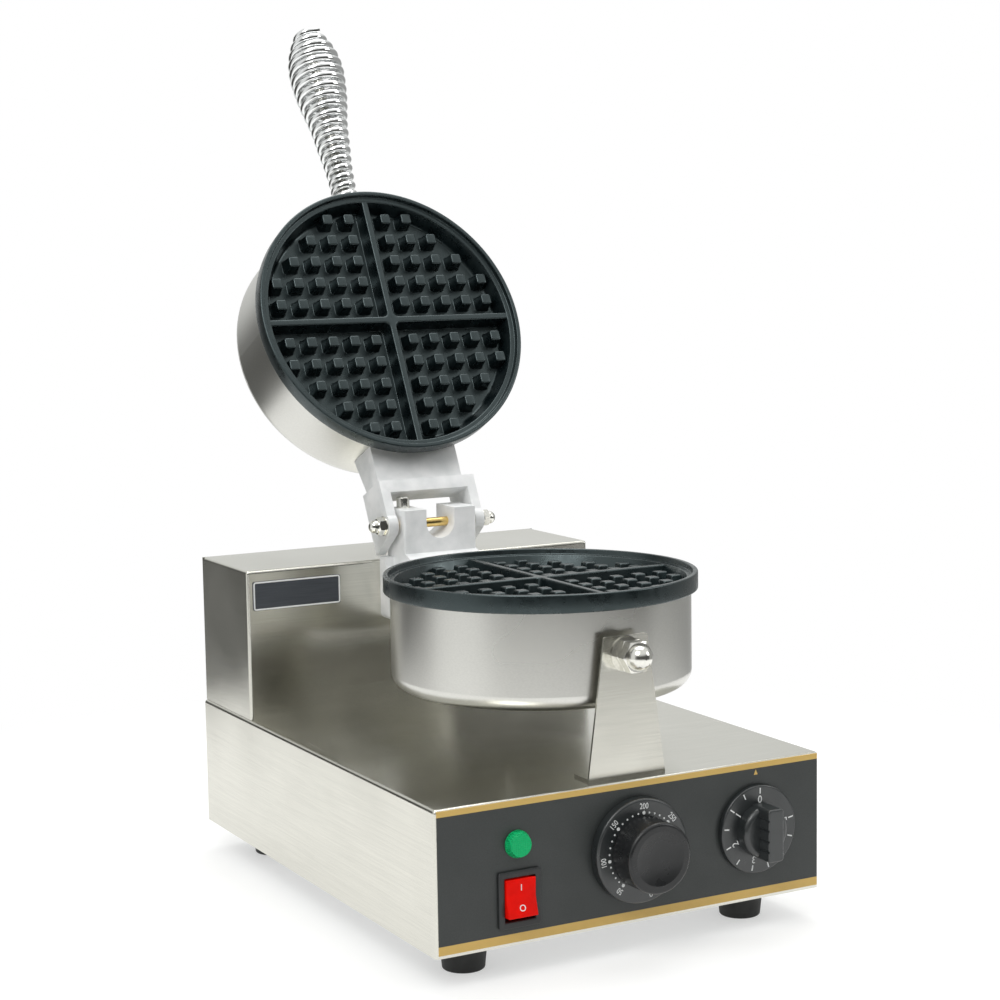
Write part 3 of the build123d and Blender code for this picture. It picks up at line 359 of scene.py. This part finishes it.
def plated(name, colour, roughness):
    """Plated or polished metal, with fine spots and a smear here and there."""
    look = Look(name, colour, roughness, metallic=1.0)
    spots = look.noise(600.0, 3.0)
    look.shade(spots, spread=0.05)
    look.rough(look.noise(90.0, 3.0), spread=roughness * 0.4)
    look.bump(spots, depth=0.02, strength=0.35)
    return look.material


def moulded(name, colour, roughness, grain=2200.0, depth=0.03, **sockets):
    """Moulded plastic or rubber with a fine grain and a little handling wear."""
    look = Look(name, colour, roughness, **sockets)
    look.shade(look.noise(45.0, 4.0), spread=0.10)
    look.rough(look.noise(120.0, 3.0), spread=0.06)
    look.bump(look.noise(grain, 2.0), depth, strength=0.5)
    return look.material


def cast_metal(name):
    """Cast aluminium: a fine sandy skin, polished a little where hands and tools rub it."""
    look = Look(name, (0.93, 0.95, 0.95), 0.46, metallic=0.12)
    look.shade(look.noise(70.0, 6.0), spread=0.15)
    look.rough(look.noise(35.0, 5.0), spread=0.13)
    look.bump(look.noise(2600.0, 3.0), depth=0.08, strength=0.6)
    look.bump(look.noise(130.0, 4.0), depth=0.30, strength=0.45)
    return look.material


def coating(name):
    """Non-stick coating: satin black with a fine orange-peel."""
    look = Look(name, (0.003, 0.006, 0.007), 0.30,
                Specular_IOR_Level=0.95, Specular_Tint=(0.80, 0.98, 1.0, 1))
    look.shade(look.noise(80.0, 5.0), spread=0.22)
    look.rough(look.noise(160.0, 3.0), spread=0.07)
    look.bump(look.noise(1800.0, 3.0), depth=0.06, strength=0.6)
    return look.material


def fascia_ink(name):
    """The panel's black ink, with a gold stripe along its top and its bottom."""
    look = Look(name, (0.038, 0.043, 0.042), 0.40)
    black = look.shade(look.noise(1900.0, 2.0), spread=0.16)
    height = look.split(look.place)["Z"]
    low = look.math("LESS_THAN", height, LOW_STRIPE_TO * MM)
    high = look.math("GREATER_THAN", height, HIGH_STRIPE_FROM * MM)
    look.paint(look.mix_colour(look.math("MAXIMUM", low, high), black, GOLD))
    look.rough(look.noise(70.0, 4.0), spread=0.05)
    look.bump(look.noise(2500.0, 2.0), depth=0.02, strength=0.4)
    return look.material


def lens_green(name):
    """The lamp's lens: green plastic with a fine pattern of cells, and painted shade where each cell is
    deep.
    """
    look = Look(name, (0.0, 0.42, 0.13), 0.30,
                Transmission_Weight=0.10, Specular_IOR_Level=0.15,
                Emission_Color=(0.0, 0.60, 0.18, 1), Emission_Strength=0.07)
    cells = look.node("ShaderNodeTexVoronoi")
    cells.inputs["Scale"].default_value = 900.0
    cells.inputs["Randomness"].default_value = 0.15
    look.link(look.place, cells.inputs["Vector"])
    height = cells.outputs["Distance"]
    # Painted shade: the green is darker where each cell is deep, following the same depth as the bump
    look.paint(look.mix_colour(look.remap(height, 0.1, 0.6), (0.0, 0.13, 0.04), (0.01, 0.55, 0.19)))
    look.bump(height, depth=0.4, strength=0.7)
    return look.material


def red_plastic(name):
    """The rocker's red plastic, with a painted glow: its emission stands in for the light that goes through
    it.
    """
    # Emission_Color and Emission_Strength paint a glow on the rocker, which is no lamp
    look = Look(name, (0.80, 0.004, 0.001), 0.34, Specular_IOR_Level=0.15,
                Emission_Color=(0.9, 0.006, 0.001, 1), Emission_Strength=0.12)
    look.shade(look.noise(110.0, 3.0), spread=0.12)
    look.bump(look.noise(900.0, 2.0), depth=0.03, strength=0.4)
    return look.material


def wool(name):
    """Mineral wool, uneven and matt."""
    look = Look(name, (0.62, 0.55, 0.33), 0.95)
    look.shade(look.noise(400.0, 6.0), spread=0.25)
    look.bump(look.noise(900.0, 6.0), depth=0.8, strength=0.9)
    return look.material


def plate_grey(name):
    """The nameplate's dark anodised metal, with faint lines along it."""
    look = Look(name, (0.075, 0.083, 0.098), 0.33, metallic=0.35)
    look.shade(look.noise(1.0, 3.0, (60, 1800, 1800)), spread=0.12)
    look.rough(look.noise(60.0, 3.0), spread=0.05)
    look.bump(look.noise(1500.0, 2.0), depth=0.02, strength=0.4)
    return look.material


def print_ink(name, colour):
    """Matt ink, with the slight unevenness of a screen print."""
    look = Look(name, colour, 0.45)
    look.shade(look.noise(1500.0, 2.0), spread=0.06)
    look.bump(look.noise(2500.0, 2.0), depth=0.01, strength=0.3)
    return look.material


LOOKS = {
    "sheet_steel": brushed("sheet_steel", (0.68, 0.67, 0.61), 0.20, along=25, across=1700),
    "plated_steel": plated("plated_steel", (0.62, 0.63, 0.62), 0.30),
    "can_steel": drawn("can_steel", (0.66, 0.655, 0.62), 0.29),
    "fastener_steel": plated("fastener_steel", (0.80, 0.79, 0.74), 0.16),
    "coil_chrome": plated("coil_chrome", (0.86, 0.87, 0.87), 0.09),
    "handle_nut_brass": plated("handle_nut_brass", (0.80, 0.71, 0.47), 0.20),
    "cast_alloy": cast_metal("cast_alloy"),
    "iron_coating": coating("iron_coating"),
    "axle_brass": plated("axle_brass", (0.80, 0.58, 0.22), 0.20),
    "foot_rubber": moulded("foot_rubber", (0.022, 0.023, 0.022), 0.62),
    "fascia_black": fascia_ink("fascia_black"),
    "nameplate_grey": plate_grey("nameplate_grey"),
    "dial_plastic": moulded("dial_plastic", (0.022, 0.026, 0.027), 0.33,
                            grain=1500.0, depth=0.05, Specular_IOR_Level=0.85),
    "cap_plastic": moulded("cap_plastic", (0.015, 0.016, 0.017), 0.30),
    "switch_plastic": moulded("switch_plastic", (0.024, 0.026, 0.027), 0.40),
    "rocker_red": red_plastic("rocker_red"),
    "lamp_green": lens_green("lamp_green"),
    "body_plastic": moulded("body_plastic", (0.35, 0.33, 0.28), 0.50),
    "heater_sheath": plated("heater_sheath", (0.30, 0.28, 0.26), 0.45),
    "mineral_wool": wool("mineral_wool"),
}
WHITE_INK = print_ink("white_ink", (0.93, 0.95, 0.94))
GOLD_INK = print_ink("gold_ink", GOLD)
PALE_EDGE = print_ink("pale_edge", (0.90, 0.91, 0.90))

node_slot = {s["node"]: s["material_slot"] for s in frame["record"]["subparts"]}
for node_name, node_object in frame["nodes"].items():
    for material_slot in node_object.material_slots:
        material_slot.material = LOOKS[node_slot[node_name]]


# Mesh helpers
def piece(name, mesh, material, body, sharp=35.0):
    """An object of this mesh, shaded smooth but for its sharp edges, on a body."""
    obj = bpy.data.objects.new(name, mesh)
    bpy.context.scene.collection.objects.link(obj)
    mesh.materials.clear()
    mesh.materials.append(material)
    mesh.shade_smooth()
    mesh.set_sharp_from_angle(angle=math.radians(sharp))
    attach(obj, body)
    return obj


def finish_mesh(name, bm, matrix):
    mesh = bpy.data.meshes.new(name)
    bmesh.ops.transform(bm, matrix=matrix, verts=bm.verts)
    bm.to_mesh(mesh)
    bm.free()
    return mesh


def evaluated_mesh(scratch):
    """The mesh that an object shows, with its bevel or its modifiers; the object is removed."""
    bpy.context.scene.collection.objects.link(scratch)
    depsgraph = bpy.context.evaluated_depsgraph_get()
    mesh = bpy.data.meshes.new_from_object(scratch.evaluated_get(depsgraph))
    bpy.data.objects.remove(scratch)
    return mesh


def join_rings(bm, rings, flipped=False, closed=False):
    """Vertices at rings of points that each have the same count, with faces from ring to ring.

    The faces look out of rings that turn counter-clockwise and climb, or into them if flipped.
    If closed, the last ring joins the first.
    """
    loops = [[bm.verts.new(p) for p in ring] for ring in rings]
    count = len(loops[0])
    following = loops[1:] + loops[:1] if closed else loops[1:]
    for low, high in zip(loops, following):
        for i in range(count):
            j = (i + 1) % count
            if flipped:
                bm.faces.new((low[i], high[i], high[j], low[j]))
            else:
                bm.faces.new((low[i], low[j], high[j], high[i]))
    return loops


def skin(bm, rings, cap_first=False):
    """A body between rings of points, closed over the last and, if asked, over the first."""
    loops = join_rings(bm, rings)
    if cap_first:
        bm.faces.new(list(reversed(loops[0])))
    bm.faces.new(loops[-1])


def lathe(bm, outline):
    """A solid of revolution about Z from an outline of (radius, z) that starts and ends on the axis."""
    angles = [2 * math.pi * i / LATHE_STEPS for i in range(LATHE_STEPS)]
    rings = []
    for radius, z in outline[1:-1]:
        rings.append([(radius * math.cos(a), radius * math.sin(a), z) for a in angles])
    loops = join_rings(bm, rings, flipped=True)
    first = bm.verts.new((0, 0, outline[0][1]))
    last = bm.verts.new((0, 0, outline[-1][1]))
    for i in range(LATHE_STEPS):
        j = (i + 1) % LATHE_STEPS
        bm.faces.new((first, loops[0][i], loops[0][j]))
        bm.faces.new((last, loops[-1][j], loops[-1][i]))


def rounded(points, radii, steps=4):
    """An open outline with each of its inner corners turned into an arc."""
    out = [Vector(points[0])]
    for before, corner, after, radius in zip(points, points[1:], points[2:], radii):
        here = Vector(corner)
        back = (Vector(before) - here).normalized()
        ahead = (Vector(after) - here).normalized()
        half = back.angle(ahead) / 2
        reach = radius / math.tan(half)
        centre = here + (back + ahead).normalized() * (radius / math.sin(half))
        start = here + back * reach - centre
        end = here + ahead * reach - centre
        for i in range(steps + 1):
            out.append(centre + start.slerp(end, i / steps).normalized() * radius)
    out.append(Vector(points[-1]))
    return out


# Irons: a turned body, a filleted cross and pegs that flow into the floor
def square_ring(x, y, half, radius, z):
    """A square with rounded corners about (x, y), as points at one height."""
    points = []
    for quarter in range(4):
        cx = (half - radius) * (1 if quarter in (0, 3) else -1)
        cy = (half - radius) * (1 if quarter in (0, 1) else -1)
        for i in range(CORNER_STEPS + 1):
            a = math.pi / 2 * (quarter + i / CORNER_STEPS)
            points.append((x + cx + radius * math.cos(a), y + cy + radius * math.sin(a), z))
    return points


def cross_ring(half, reach, fillet, z):
    """A cross with rounded inner corners, as points at one height, counter-clockwise."""
    points = []
    corner = half + fillet
    for quarter in range(4):
        turn = math.pi / 2 * quarter
        arm = [(reach, -half), (reach, half)]
        for i in range(CORNER_STEPS + 1):
            a = math.pi / 2 * i / CORNER_STEPS
            arm.append((corner - fillet * math.sin(a), corner - fillet * math.cos(a)))
        for x, y in arm:
            points.append((x * math.cos(turn) - y * math.sin(turn),
                           x * math.sin(turn) + y * math.cos(turn), z))
    return points


def wall_levels(base, top, height):
    """Half widths and heights of a sloping wall: a flare at the foot and a rounded top edge."""
    levels = []
    angles = [math.pi / 2 * i / WALL_STEPS for i in range(WALL_STEPS + 1)]
    for a in angles:
        levels.append((base / 2 + FOOT_FLARE * (1 - math.sin(a)), FOOT_FLARE * (1 - math.cos(a))))
    for a in angles:
        levels.append((top / 2 - TOP_ROUND * (1 - math.cos(a)), height - TOP_ROUND * (1 - math.sin(a))))
    return levels


def add_cross(bm, floor):
    rings = []
    for half, z in wall_levels(RIB_BASE, RIB_TOP, CAVITY_DEPTH - LEDGE_DROP - RIB_UNDER_LEDGE):
        fillet = RIB_FILLET - (half - RIB_TOP / 2) * RIB_FILLET_LOSS
        rings.append(cross_ring(half, CASTING_RADIUS - RIB_IN_CASTING, fillet, floor + z))
    skin(bm, rings)


def add_peg(bm, x, y, floor):
    rings = []
    for half, z in wall_levels(PEG_BASE, PEG_TOP, PEG_HEIGHT):
        corner = PEG_CORNER + (half - PEG_TOP / 2) * PEG_CORNER_GROWTH
        rings.append(square_ring(x, y, half, corner, floor + z))
    skin(bm, rings)


def iron_mesh(name, matrix):
    bm = bmesh.new()
    outline = (
        (0, -CAVITY_DEPTH), (CAVITY_FLOOR_RADIUS, -CAVITY_DEPTH), (CAVITY_RADIUS, -LEDGE_DROP),
        (RIM_INNER - RIM_SLOPE, -LEDGE_DROP), (RIM_INNER, 0), (RIM_RADIUS, 0),
        (RIM_RADIUS, -RIM_SKIRT), (CASTING_RADIUS, -RIM_SKIRT),
        (CASTING_RADIUS, -CASTING_DEPTH), (0, -CASTING_DEPTH),
    )
    lathe(bm, rounded(outline, IRON_ROUNDING))
    floor = -CAVITY_DEPTH - SUNK
    add_cross(bm, floor)
    places = [PEG_FIRST + i * PEG_PITCH for i in range(PEG_ROWS)]
    for x in places:
        for y in places:
            if math.hypot(x, y) < PEG_REACH:
                for peg_x, peg_y in ((-x, -y), (-x, y), (x, -y), (x, y)):
                    add_peg(bm, peg_x, peg_y, floor)
    return finish_mesh(name, bm, matrix)


for half_name, matrix, body in (("lower", LOWER, "base"), ("upper", UPPER, "lid")):
    iron_name = half_name + "_iron_cast"
    iron = piece(iron_name, iron_mesh(iron_name, matrix), LOOKS["iron_coating"], body, sharp=50.0)
    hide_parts(half_name + "_iron")


# Pieces that are the CAD's own shape with worn, rounded edges
WELD_DISTANCE = 0.002
FLAT_ANGLE = 0.6
WORN_ANGLE = 32.0
WORN_STEPS = 3
WORN_EDGES = {
    "hinge_yoke": 0.9,
    "lower_hinge_casting": 0.9,
    "power_rocker": 0.5,
    "switch_frame": 0.5,
    "rubber_feet": 0.8,
}


def merged_copy(name, mesh):
    """A copy of a mesh with its points welded and its flat triangles merged into faces."""
    bm = bmesh.new()
    bm.from_mesh(mesh)
    bmesh.ops.remove_doubles(bm, verts=bm.verts, dist=WELD_DISTANCE * MM)
    bmesh.ops.dissolve_limit(bm, angle_limit=math.radians(FLAT_ANGLE), verts=bm.verts, edges=bm.edges)
    for edge in bm.edges:
        edge.smooth = True
    merged = bpy.data.meshes.new(name)
    bm.to_mesh(merged)
    bm.free()
    return merged


def softened(node, width):
    """A copy of a node's mesh with its sharp edges rounded, which stands for the node."""
    source = frame["nodes"][node]
    scratch = bpy.data.objects.new(node + "_scratch", merged_copy(node + "_soft", source.data))
    bevel = scratch.modifiers.new("bevel", "BEVEL")
    bevel.width = width * MM
    bevel.segments = WORN_STEPS
    bevel.limit_method = "ANGLE"
    bevel.angle_limit = math.radians(WORN_ANGLE)
    bevel.use_clamp_overlap = True
    mesh = evaluated_mesh(scratch)
    soft = piece(node + "_soft", mesh, LOOKS[node_slot[node]], source["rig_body"])
    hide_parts(node)


for node_name, edge_width in WORN_EDGES.items():
    softened(node_name, edge_width)


# Coil handle: the wire's outer radius at each distance from the handle's tip
COIL_OUTLINE = (
    (2.0, 9.3), (6.0, 11.8), (10.9, 14.2), (16.0, 16.4), (22.0, 18.2), (29.0, 19.2), (36.4, 19.4),
    (44.0, 18.6), (51.0, 17.9), (59.0, 16.6), (66.5, 14.9), (74.0, 13.4), (84.0, 12.3), (93.0, 11.5),
    (102.0, 10.2), (111.0, 9.4), (120.0, 9.0), (150.0, 9.0),
)
COIL_SMOOTHING = (-4.0, -2.0, 0.0, 2.0, 4.0)


def outline_radius(from_tip):
    if from_tip <= COIL_OUTLINE[0][0]:
        return COIL_OUTLINE[0][1]
    for (a, low), (b, high) in zip(COIL_OUTLINE, COIL_OUTLINE[1:]):
        if from_tip <= b:
            return low + (high - low) * (from_tip - a) / (b - a)
    return COIL_OUTLINE[-1][1]


def coil_point(turn):
    """A point on the wire's middle line after this many turns, with the lid closed."""
    along = COIL_BASE + COIL_WIRE / 2 + turn / COIL_TURNS * COIL_LENGTH
    from_tip = HANDLE_TIP - along
    mean = sum(outline_radius(from_tip + s) for s in COIL_SMOOTHING) / len(COIL_SMOOTHING)
    radius = mean - COIL_WIRE / 2
    angle = 2 * math.pi * turn
    handle_z = RIM_Z + RIM_GAP + HANDLE_OVER_RIM
    return Vector((radius * math.cos(angle), PLATE_TO_FRONT - along, handle_z + radius * math.sin(angle)))


def tube(name, points, radius, matrix):
    """A round tube with closed ends along points."""
    curve = bpy.data.curves.new(name, "CURVE")
    curve.dimensions = "3D"
    curve.bevel_depth = radius
    curve.bevel_resolution = 5
    curve.use_fill_caps = True
    spline = curve.splines.new("POLY")
    spline.points.add(len(points) - 1)
    for target, point in zip(spline.points, points):
        target.co = (*point, 1)
    mesh = evaluated_mesh(bpy.data.objects.new(name, curve))
    mesh.transform(matrix)
    return mesh


coil_count = round(COIL_TURNS * COIL_STEPS)
coil_line = [coil_point(i / COIL_STEPS) for i in range(coil_count + 1)]
coil_line.insert(0, coil_line[0] - (coil_line[1] - coil_line[0]).normalized() * COIL_WIRE)
coil_line.append(coil_line[-1] + (coil_line[-1] - coil_line[-2]).normalized() * COIL_WIRE)
coil = piece("coil_wire", tube("coil_wire", coil_line, COIL_WIRE / 2, PART @ OPENING),
             LOOKS["coil_chrome"], "lid", sharp=60.0)
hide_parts("handle_coil")


# Print: each mark is a thin layer of ink on its own face
def flat(bm, points, matrix):
    """A thin closed layer over a counter-clockwise outline in the plane of the print."""
    rings = [[matrix @ Vector((x, y, z)) for x, y in points] for z in (0, PRINT_THICK)]
    skin(bm, rings, cap_first=True)


def disc(bm, radius, matrix):
    turn = 2 * math.pi / DISC_STEPS
    flat(bm, [(radius * math.cos(i * turn), radius * math.sin(i * turn)) for i in range(DISC_STEPS)], matrix)


def bar(bm, width, height, matrix):
    flat(bm, [(-width / 2, -height / 2), (width / 2, -height / 2),
              (width / 2, height / 2), (-width / 2, height / 2)], matrix)


def word(bm, text, size, matrix):
    """Plain numbers or signs in the built-in typeface, centred."""
    curve = bpy.data.curves.new("word", "FONT")
    curve.body = text
    curve.size = size
    curve.extrude = PRINT_THICK / 2
    curve.offset = size * INK_SPREAD
    curve.align_x = "CENTER"
    curve.align_y = "CENTER"
    mesh = evaluated_mesh(bpy.data.objects.new("word", curve))
    mesh.transform(matrix @ Matrix.Translation((0, 0, PRINT_THICK / 2)))
    bm.from_mesh(mesh)
    bpy.data.meshes.remove(mesh)


def face_plane(x, z, y):
    """The plane of a face that looks to the front: its X is the part's X and its Y is up."""
    return (Matrix.Translation((x, y - PRINT_PROUD + PRINT_THICK / 2, z))
            @ Matrix.Rotation(math.pi / 2, 4, "X"))


def around(plane, radius, degrees):
    """A place at an angle about the plane's middle, turned so that its top points outwards."""
    return (plane @ Matrix.Rotation(math.radians(degrees - 90), 4, "Z")
            @ Matrix.Translation((0, radius, 0)))


def print_piece(name, bm, material, body):
    piece(name, finish_mesh(name, bm, PART), material, body)


def thermostat_print():
    bm = bmesh.new()
    plane = face_plane(DIAL_X, DIAL_Z, DIAL_FACE)
    narrow = Matrix.Scale(DIAL_NUMBER_WIDTH, 4, (1, 0, 0))
    for text, angle in THERMOSTAT_MARKS:
        disc(bm, BIG_DOT, around(plane, DIAL_DOT_RADIUS, angle))
        word(bm, text, DIAL_NUMBER_SIZE, around(plane, DIAL_NUMBER_RADIUS, angle) @ narrow)
    for (_, start), (_, end) in zip(THERMOSTAT_MARKS, THERMOSTAT_MARKS[1:]):
        for i in range(1, SMALL_DOTS + 1):
            angle = start + (end - start) * i / (SMALL_DOTS + 1)
            disc(bm, SMALL_DOT, around(plane, DIAL_DOT_RADIUS, angle))
    disc(bm, BIG_DOT, around(plane, DIAL_DOT_RADIUS, OFF_ANGLE))
    word(bm, "0", DIAL_NUMBER_SIZE, around(plane, DIAL_NUMBER_RADIUS, OFF_ANGLE))
    return bm


def timer_print():
    """A tick at each half, and a number at each whole one."""
    bm = bmesh.new()
    plane = face_plane(TIMER_X, TIMER_Z, TIMER_FACE)
    for i in range(TIMER_TICKS):
        angle = TIMER_START + i * TIMER_STEP
        bar(bm, TICK_WIDTH, TICK_LENGTH, around(plane, TICK_RADIUS, angle))
        if i % 2 == 0:
            word(bm, str(i // 2), TIMER_NUMBER_SIZE, around(plane, TIMER_NUMBER_RADIUS, angle))
    return bm


def pointer_print():
    bm = bmesh.new()
    half = POINTER_SIZE / 2
    flat(bm, [(-half, -half), (half, -half), (0, half * POINTER_PEAK)],
         face_plane(TIMER_X + POINTER_ASIDE, POINTER_Z, PANEL_Y))
    return bm


def plate_outline(box, inset, radius, y):
    """A rectangle with rounded corners, this far inside a plate that looks to the front."""
    x0, x1, z0, z1 = box
    corners = ((x1 - inset, z1 - inset, 0), (x0 + inset, z1 - inset, 90),
               (x0 + inset, z0 + inset, 180), (x1 - inset, z0 + inset, 270))
    points = []
    for x, z, start in corners:
        middle_x = x - radius if start in (0, 270) else x + radius
        middle_z = z - radius if start in (0, 90) else z + radius
        for i in range(CORNER_STEPS + 1):
            a = math.radians(start + 90 * i / CORNER_STEPS)
            points.append((middle_x + radius * math.cos(a), y, middle_z + radius * math.sin(a)))
    return points


def nameplate_edge():
    """The raised border of the bare nameplate."""
    low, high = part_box("nameplate")
    box = (low[0] / MM, high[0] / MM, low[2] / MM, high[2] / MM)
    foot = (low[1] - front_y) / MM + EDGE_SUNK
    inner = EDGE_WIDTH - EDGE_SLOPE
    rings = []
    for step, height in ((0, 0), (EDGE_SLOPE, EDGE_PROUD), (inner, EDGE_PROUD), (EDGE_WIDTH, 0)):
        radius = max(EDGE_RADIUS - step, EDGE_LEAST_RADIUS)
        rings.append(plate_outline(box, EDGE_INSET + step, radius, foot - height))
    bm = bmesh.new()
    join_rings(bm, rings, closed=True)
    bmesh.ops.recalc_face_normals(bm, faces=bm.faces)
    return bm


def rocker_print():
    """The switch's signs, on the rocker's two sloping faces."""
    bm = bmesh.new()
    hinge_y = PANEL_Y + ROCKER_HINGE_DEPTH
    front = PANEL_Y - ROCKER_PROUD
    tilt = Matrix.Translation((0, hinge_y, 0)) @ Matrix.Rotation(math.radians(-ROCKER_TILT), 4, "X")
    for side, sign in ((1, "I"), (-1, "O")):
        slope = math.radians(side * ROCKER_TILT)
        local = (Matrix.Translation((0, front - hinge_y, side * SIGN_REACH))
                 @ Matrix.Rotation(slope, 4, "X") @ Matrix.Rotation(math.pi / 2, 4, "X"))
        place = Matrix.Translation((ROCKER_X, 0, ROCKER_Z)) @ tilt @ local
        word(bm, sign, SIGN_SIZE, place @ Matrix.Translation((0, 0, SIGN_LIFT)))
    return bm


print_piece("thermostat_marks", thermostat_print(), WHITE_INK, "thermostat_knob")
print_piece("timer_marks", timer_print(), WHITE_INK, "timer_dial")
print_piece("timer_pointer", pointer_print(), GOLD_INK, "base")
print_piece("nameplate_edge", nameplate_edge(), PALE_EDGE, "base")
print_piece("switch_signs", rocker_print(), WHITE_INK, "rocker")


# Floor: its size, where it fades into the background, and its colour and glow
FLOOR_RADIUS = 0.85
FLOOR_CENTRE = (-0.15, -0.25, 0)
FLOOR_STEPS = 96
FLOOR_FADE = (0.38, 0.58)
FLOOR_WHITE = (0.60, 0.60, 0.595)
FLOOR_GLOW = 0.46

# Studio: each pair is where, along a direction's X, Y or Z, a dark part starts and is whole
STUDIO_BRIGHT = (0.92, 0.93, 0.92)
STUDIO_DARK = (0.075, 0.075, 0.070)
STUDIO_STRENGTH = 0.85
DARK_BELOW = (0.62, 0.26)
DARK_FRONT = (-0.10, -0.60)
DARK_LEFT = (-0.10, -0.40)
DARK_LEFT_BACK = (0.30, 0.62)
DARK_RIGHT = (0.52, 0.85)
DARK_RIGHT_SHARE = 0.62

# Lamps: name, place, width and height, and watts
LAMP_TARGET = (0, 0, 0.2)
LAMPS = (
    ("key", (-1.1, -0.9, 1.7), (1.0, 1.0), 13.0),
    ("top", (0.35, 0.35, 1.9), (1.5, 1.2), 14.0),
    ("fill", (1.5, -1.0, 1.0), (0.7, 0.7), 5.0),
)


class Stage(Nodes):
    """The empty node tree of the floor or the world, with short calls for its shaders."""

    def __init__(self, tree):
        super().__init__(tree)
        tree.nodes.clear()

    def step(self, value, limits):
        """0 at the first limit and 1 at the second, smoothly."""
        return self.remap(value, *limits, kind="SMOOTHSTEP")

    def mix_shader(self, factor, first, second):
        node = self.node("ShaderNodeMixShader")
        self.link(factor, node.inputs["Fac"])
        self.link(first, node.inputs[1])
        self.link(second, node.inputs[2])
        return node.outputs["Shader"]

    def glow(self, strength, kind="ShaderNodeEmission"):
        node = self.node(kind)
        node.inputs["Color"].default_value = (1, 1, 1, 1)
        node.inputs["Strength"].default_value = strength
        return node.outputs[0]

    def show(self, shader, kind):
        self.link(shader, self.node(kind).inputs["Surface"])


def floor_material():
    """Matt white that fades into the background around it and keeps the object's shadow."""
    material = bpy.data.materials.new("floor_white")
    material.use_nodes = True
    stage = Stage(material.node_tree)
    diffuse = stage.node("ShaderNodeBsdfDiffuse")
    diffuse.inputs["Color"].default_value = (*FLOOR_WHITE, 1)
    paths = stage.node("ShaderNodeLightPath")
    seen = stage.math("MAXIMUM", paths.outputs["Is Camera Ray"], paths.outputs["Is Glossy Ray"])
    glow = stage.mix_shader(seen, stage.glow(0.0), stage.glow(FLOOR_GLOW))
    lit = stage.node("ShaderNodeAddShader")
    stage.link(diffuse.outputs["BSDF"], lit.inputs[0])
    stage.link(glow, lit.inputs[1])
    length = stage.node("ShaderNodeVectorMath", operation="LENGTH")
    stage.link(stage.coordinates("Object"), length.inputs[0])
    far = stage.step(length.outputs["Value"], FLOOR_FADE)
    fade = stage.math("MULTIPLY", far, paths.outputs["Is Camera Ray"])
    stage.show(stage.mix_shader(fade, lit.outputs["Shader"], stage.glow(1.0)), "ShaderNodeOutputMaterial")
    return material


def make_floor():
    bm = bmesh.new()
    bmesh.ops.create_circle(bm, cap_ends=True, segments=FLOOR_STEPS, radius=FLOOR_RADIUS,
                            matrix=Matrix.Translation(FLOOR_CENTRE))
    mesh = bpy.data.meshes.new("floor")
    bm.to_mesh(mesh)
    bm.free()
    mesh.materials.append(floor_material())
    floor = bpy.data.objects.new("floor", mesh)
    bpy.context.scene.collection.objects.link(floor)


def studio_darkness(stage):
    """How dark the studio is in each direction: in front, at the back left and at the far right."""
    x, y, z = stage.split(stage.coordinates("Generated"))
    below = stage.step(z, DARK_BELOW)
    front = stage.step(y, DARK_FRONT)
    left = stage.math("MULTIPLY", stage.step(x, DARK_LEFT), stage.step(y, DARK_LEFT_BACK))
    right = stage.math("MULTIPLY", stage.step(x, DARK_RIGHT), DARK_RIGHT_SHARE)
    dark = stage.math("MULTIPLY", stage.math("MAXIMUM", front, left), below)
    return stage.math("MAXIMUM", dark, stage.math("MULTIPLY", right, below))


def make_world():
    """A pale studio with dark sides low down, which the camera itself sees as plain white."""
    world = bpy.data.worlds.new("studio")
    bpy.context.scene.world = world
    world.use_nodes = True
    stage = Stage(world.node_tree)
    studio = stage.node("ShaderNodeBackground")
    studio.inputs["Strength"].default_value = STUDIO_STRENGTH
    colour = stage.mix_colour(studio_darkness(stage), STUDIO_BRIGHT, STUDIO_DARK)
    stage.link(colour, studio.inputs["Color"])
    paths = stage.node("ShaderNodeLightPath")
    white = stage.glow(1.0, "ShaderNodeBackground")
    shown = stage.mix_shader(paths.outputs["Is Camera Ray"], studio.outputs["Background"], white)
    stage.show(shown, "ShaderNodeOutputWorld")


def make_lamp(name, place, size, power):
    data = bpy.data.lights.new(name, "AREA")
    data.shape = "RECTANGLE"
    data.size, data.size_y = size
    data.energy = power
    obj = bpy.data.objects.new(name, data)
    obj.location = place
    towards = Vector(LAMP_TARGET) - Vector(place)
    obj.rotation_euler = towards.to_track_quat("-Z", "Y").to_euler()
    bpy.context.scene.collection.objects.link(obj)


def make_camera():
    data = bpy.data.cameras.new("camera")
    data.lens = CAMERA_LENS
    data.sensor_width = CAMERA_SENSOR
    data.clip_end = 100.0
    a = math.radians(CAMERA_AZIMUTH)
    e = math.radians(CAMERA_ELEVATION)
    r = math.radians(CAMERA_ROLL)
    back = Vector((math.sin(a) * math.cos(e), -math.cos(a) * math.cos(e), math.sin(e)))
    right = Vector((math.cos(a), math.sin(a), 0))
    up = back.cross(right)
    turned_right = right * math.cos(r) + up * math.sin(r)
    turned_up = up * math.cos(r) - right * math.sin(r)
    basis = Matrix((turned_right, turned_up, back)).transposed().to_4x4()
    camera = bpy.data.objects.new("camera", data)
    camera.matrix_world = Matrix.Translation(PART @ Vector(CAMERA_PLACE)) @ basis
    bpy.context.scene.collection.objects.link(camera)
    bpy.context.scene.camera = camera


make_floor()
make_world()
for lamp in LAMPS:
    make_lamp(*lamp)
make_camera()

view = bpy.context.scene.view_settings
view.view_transform = "Standard"
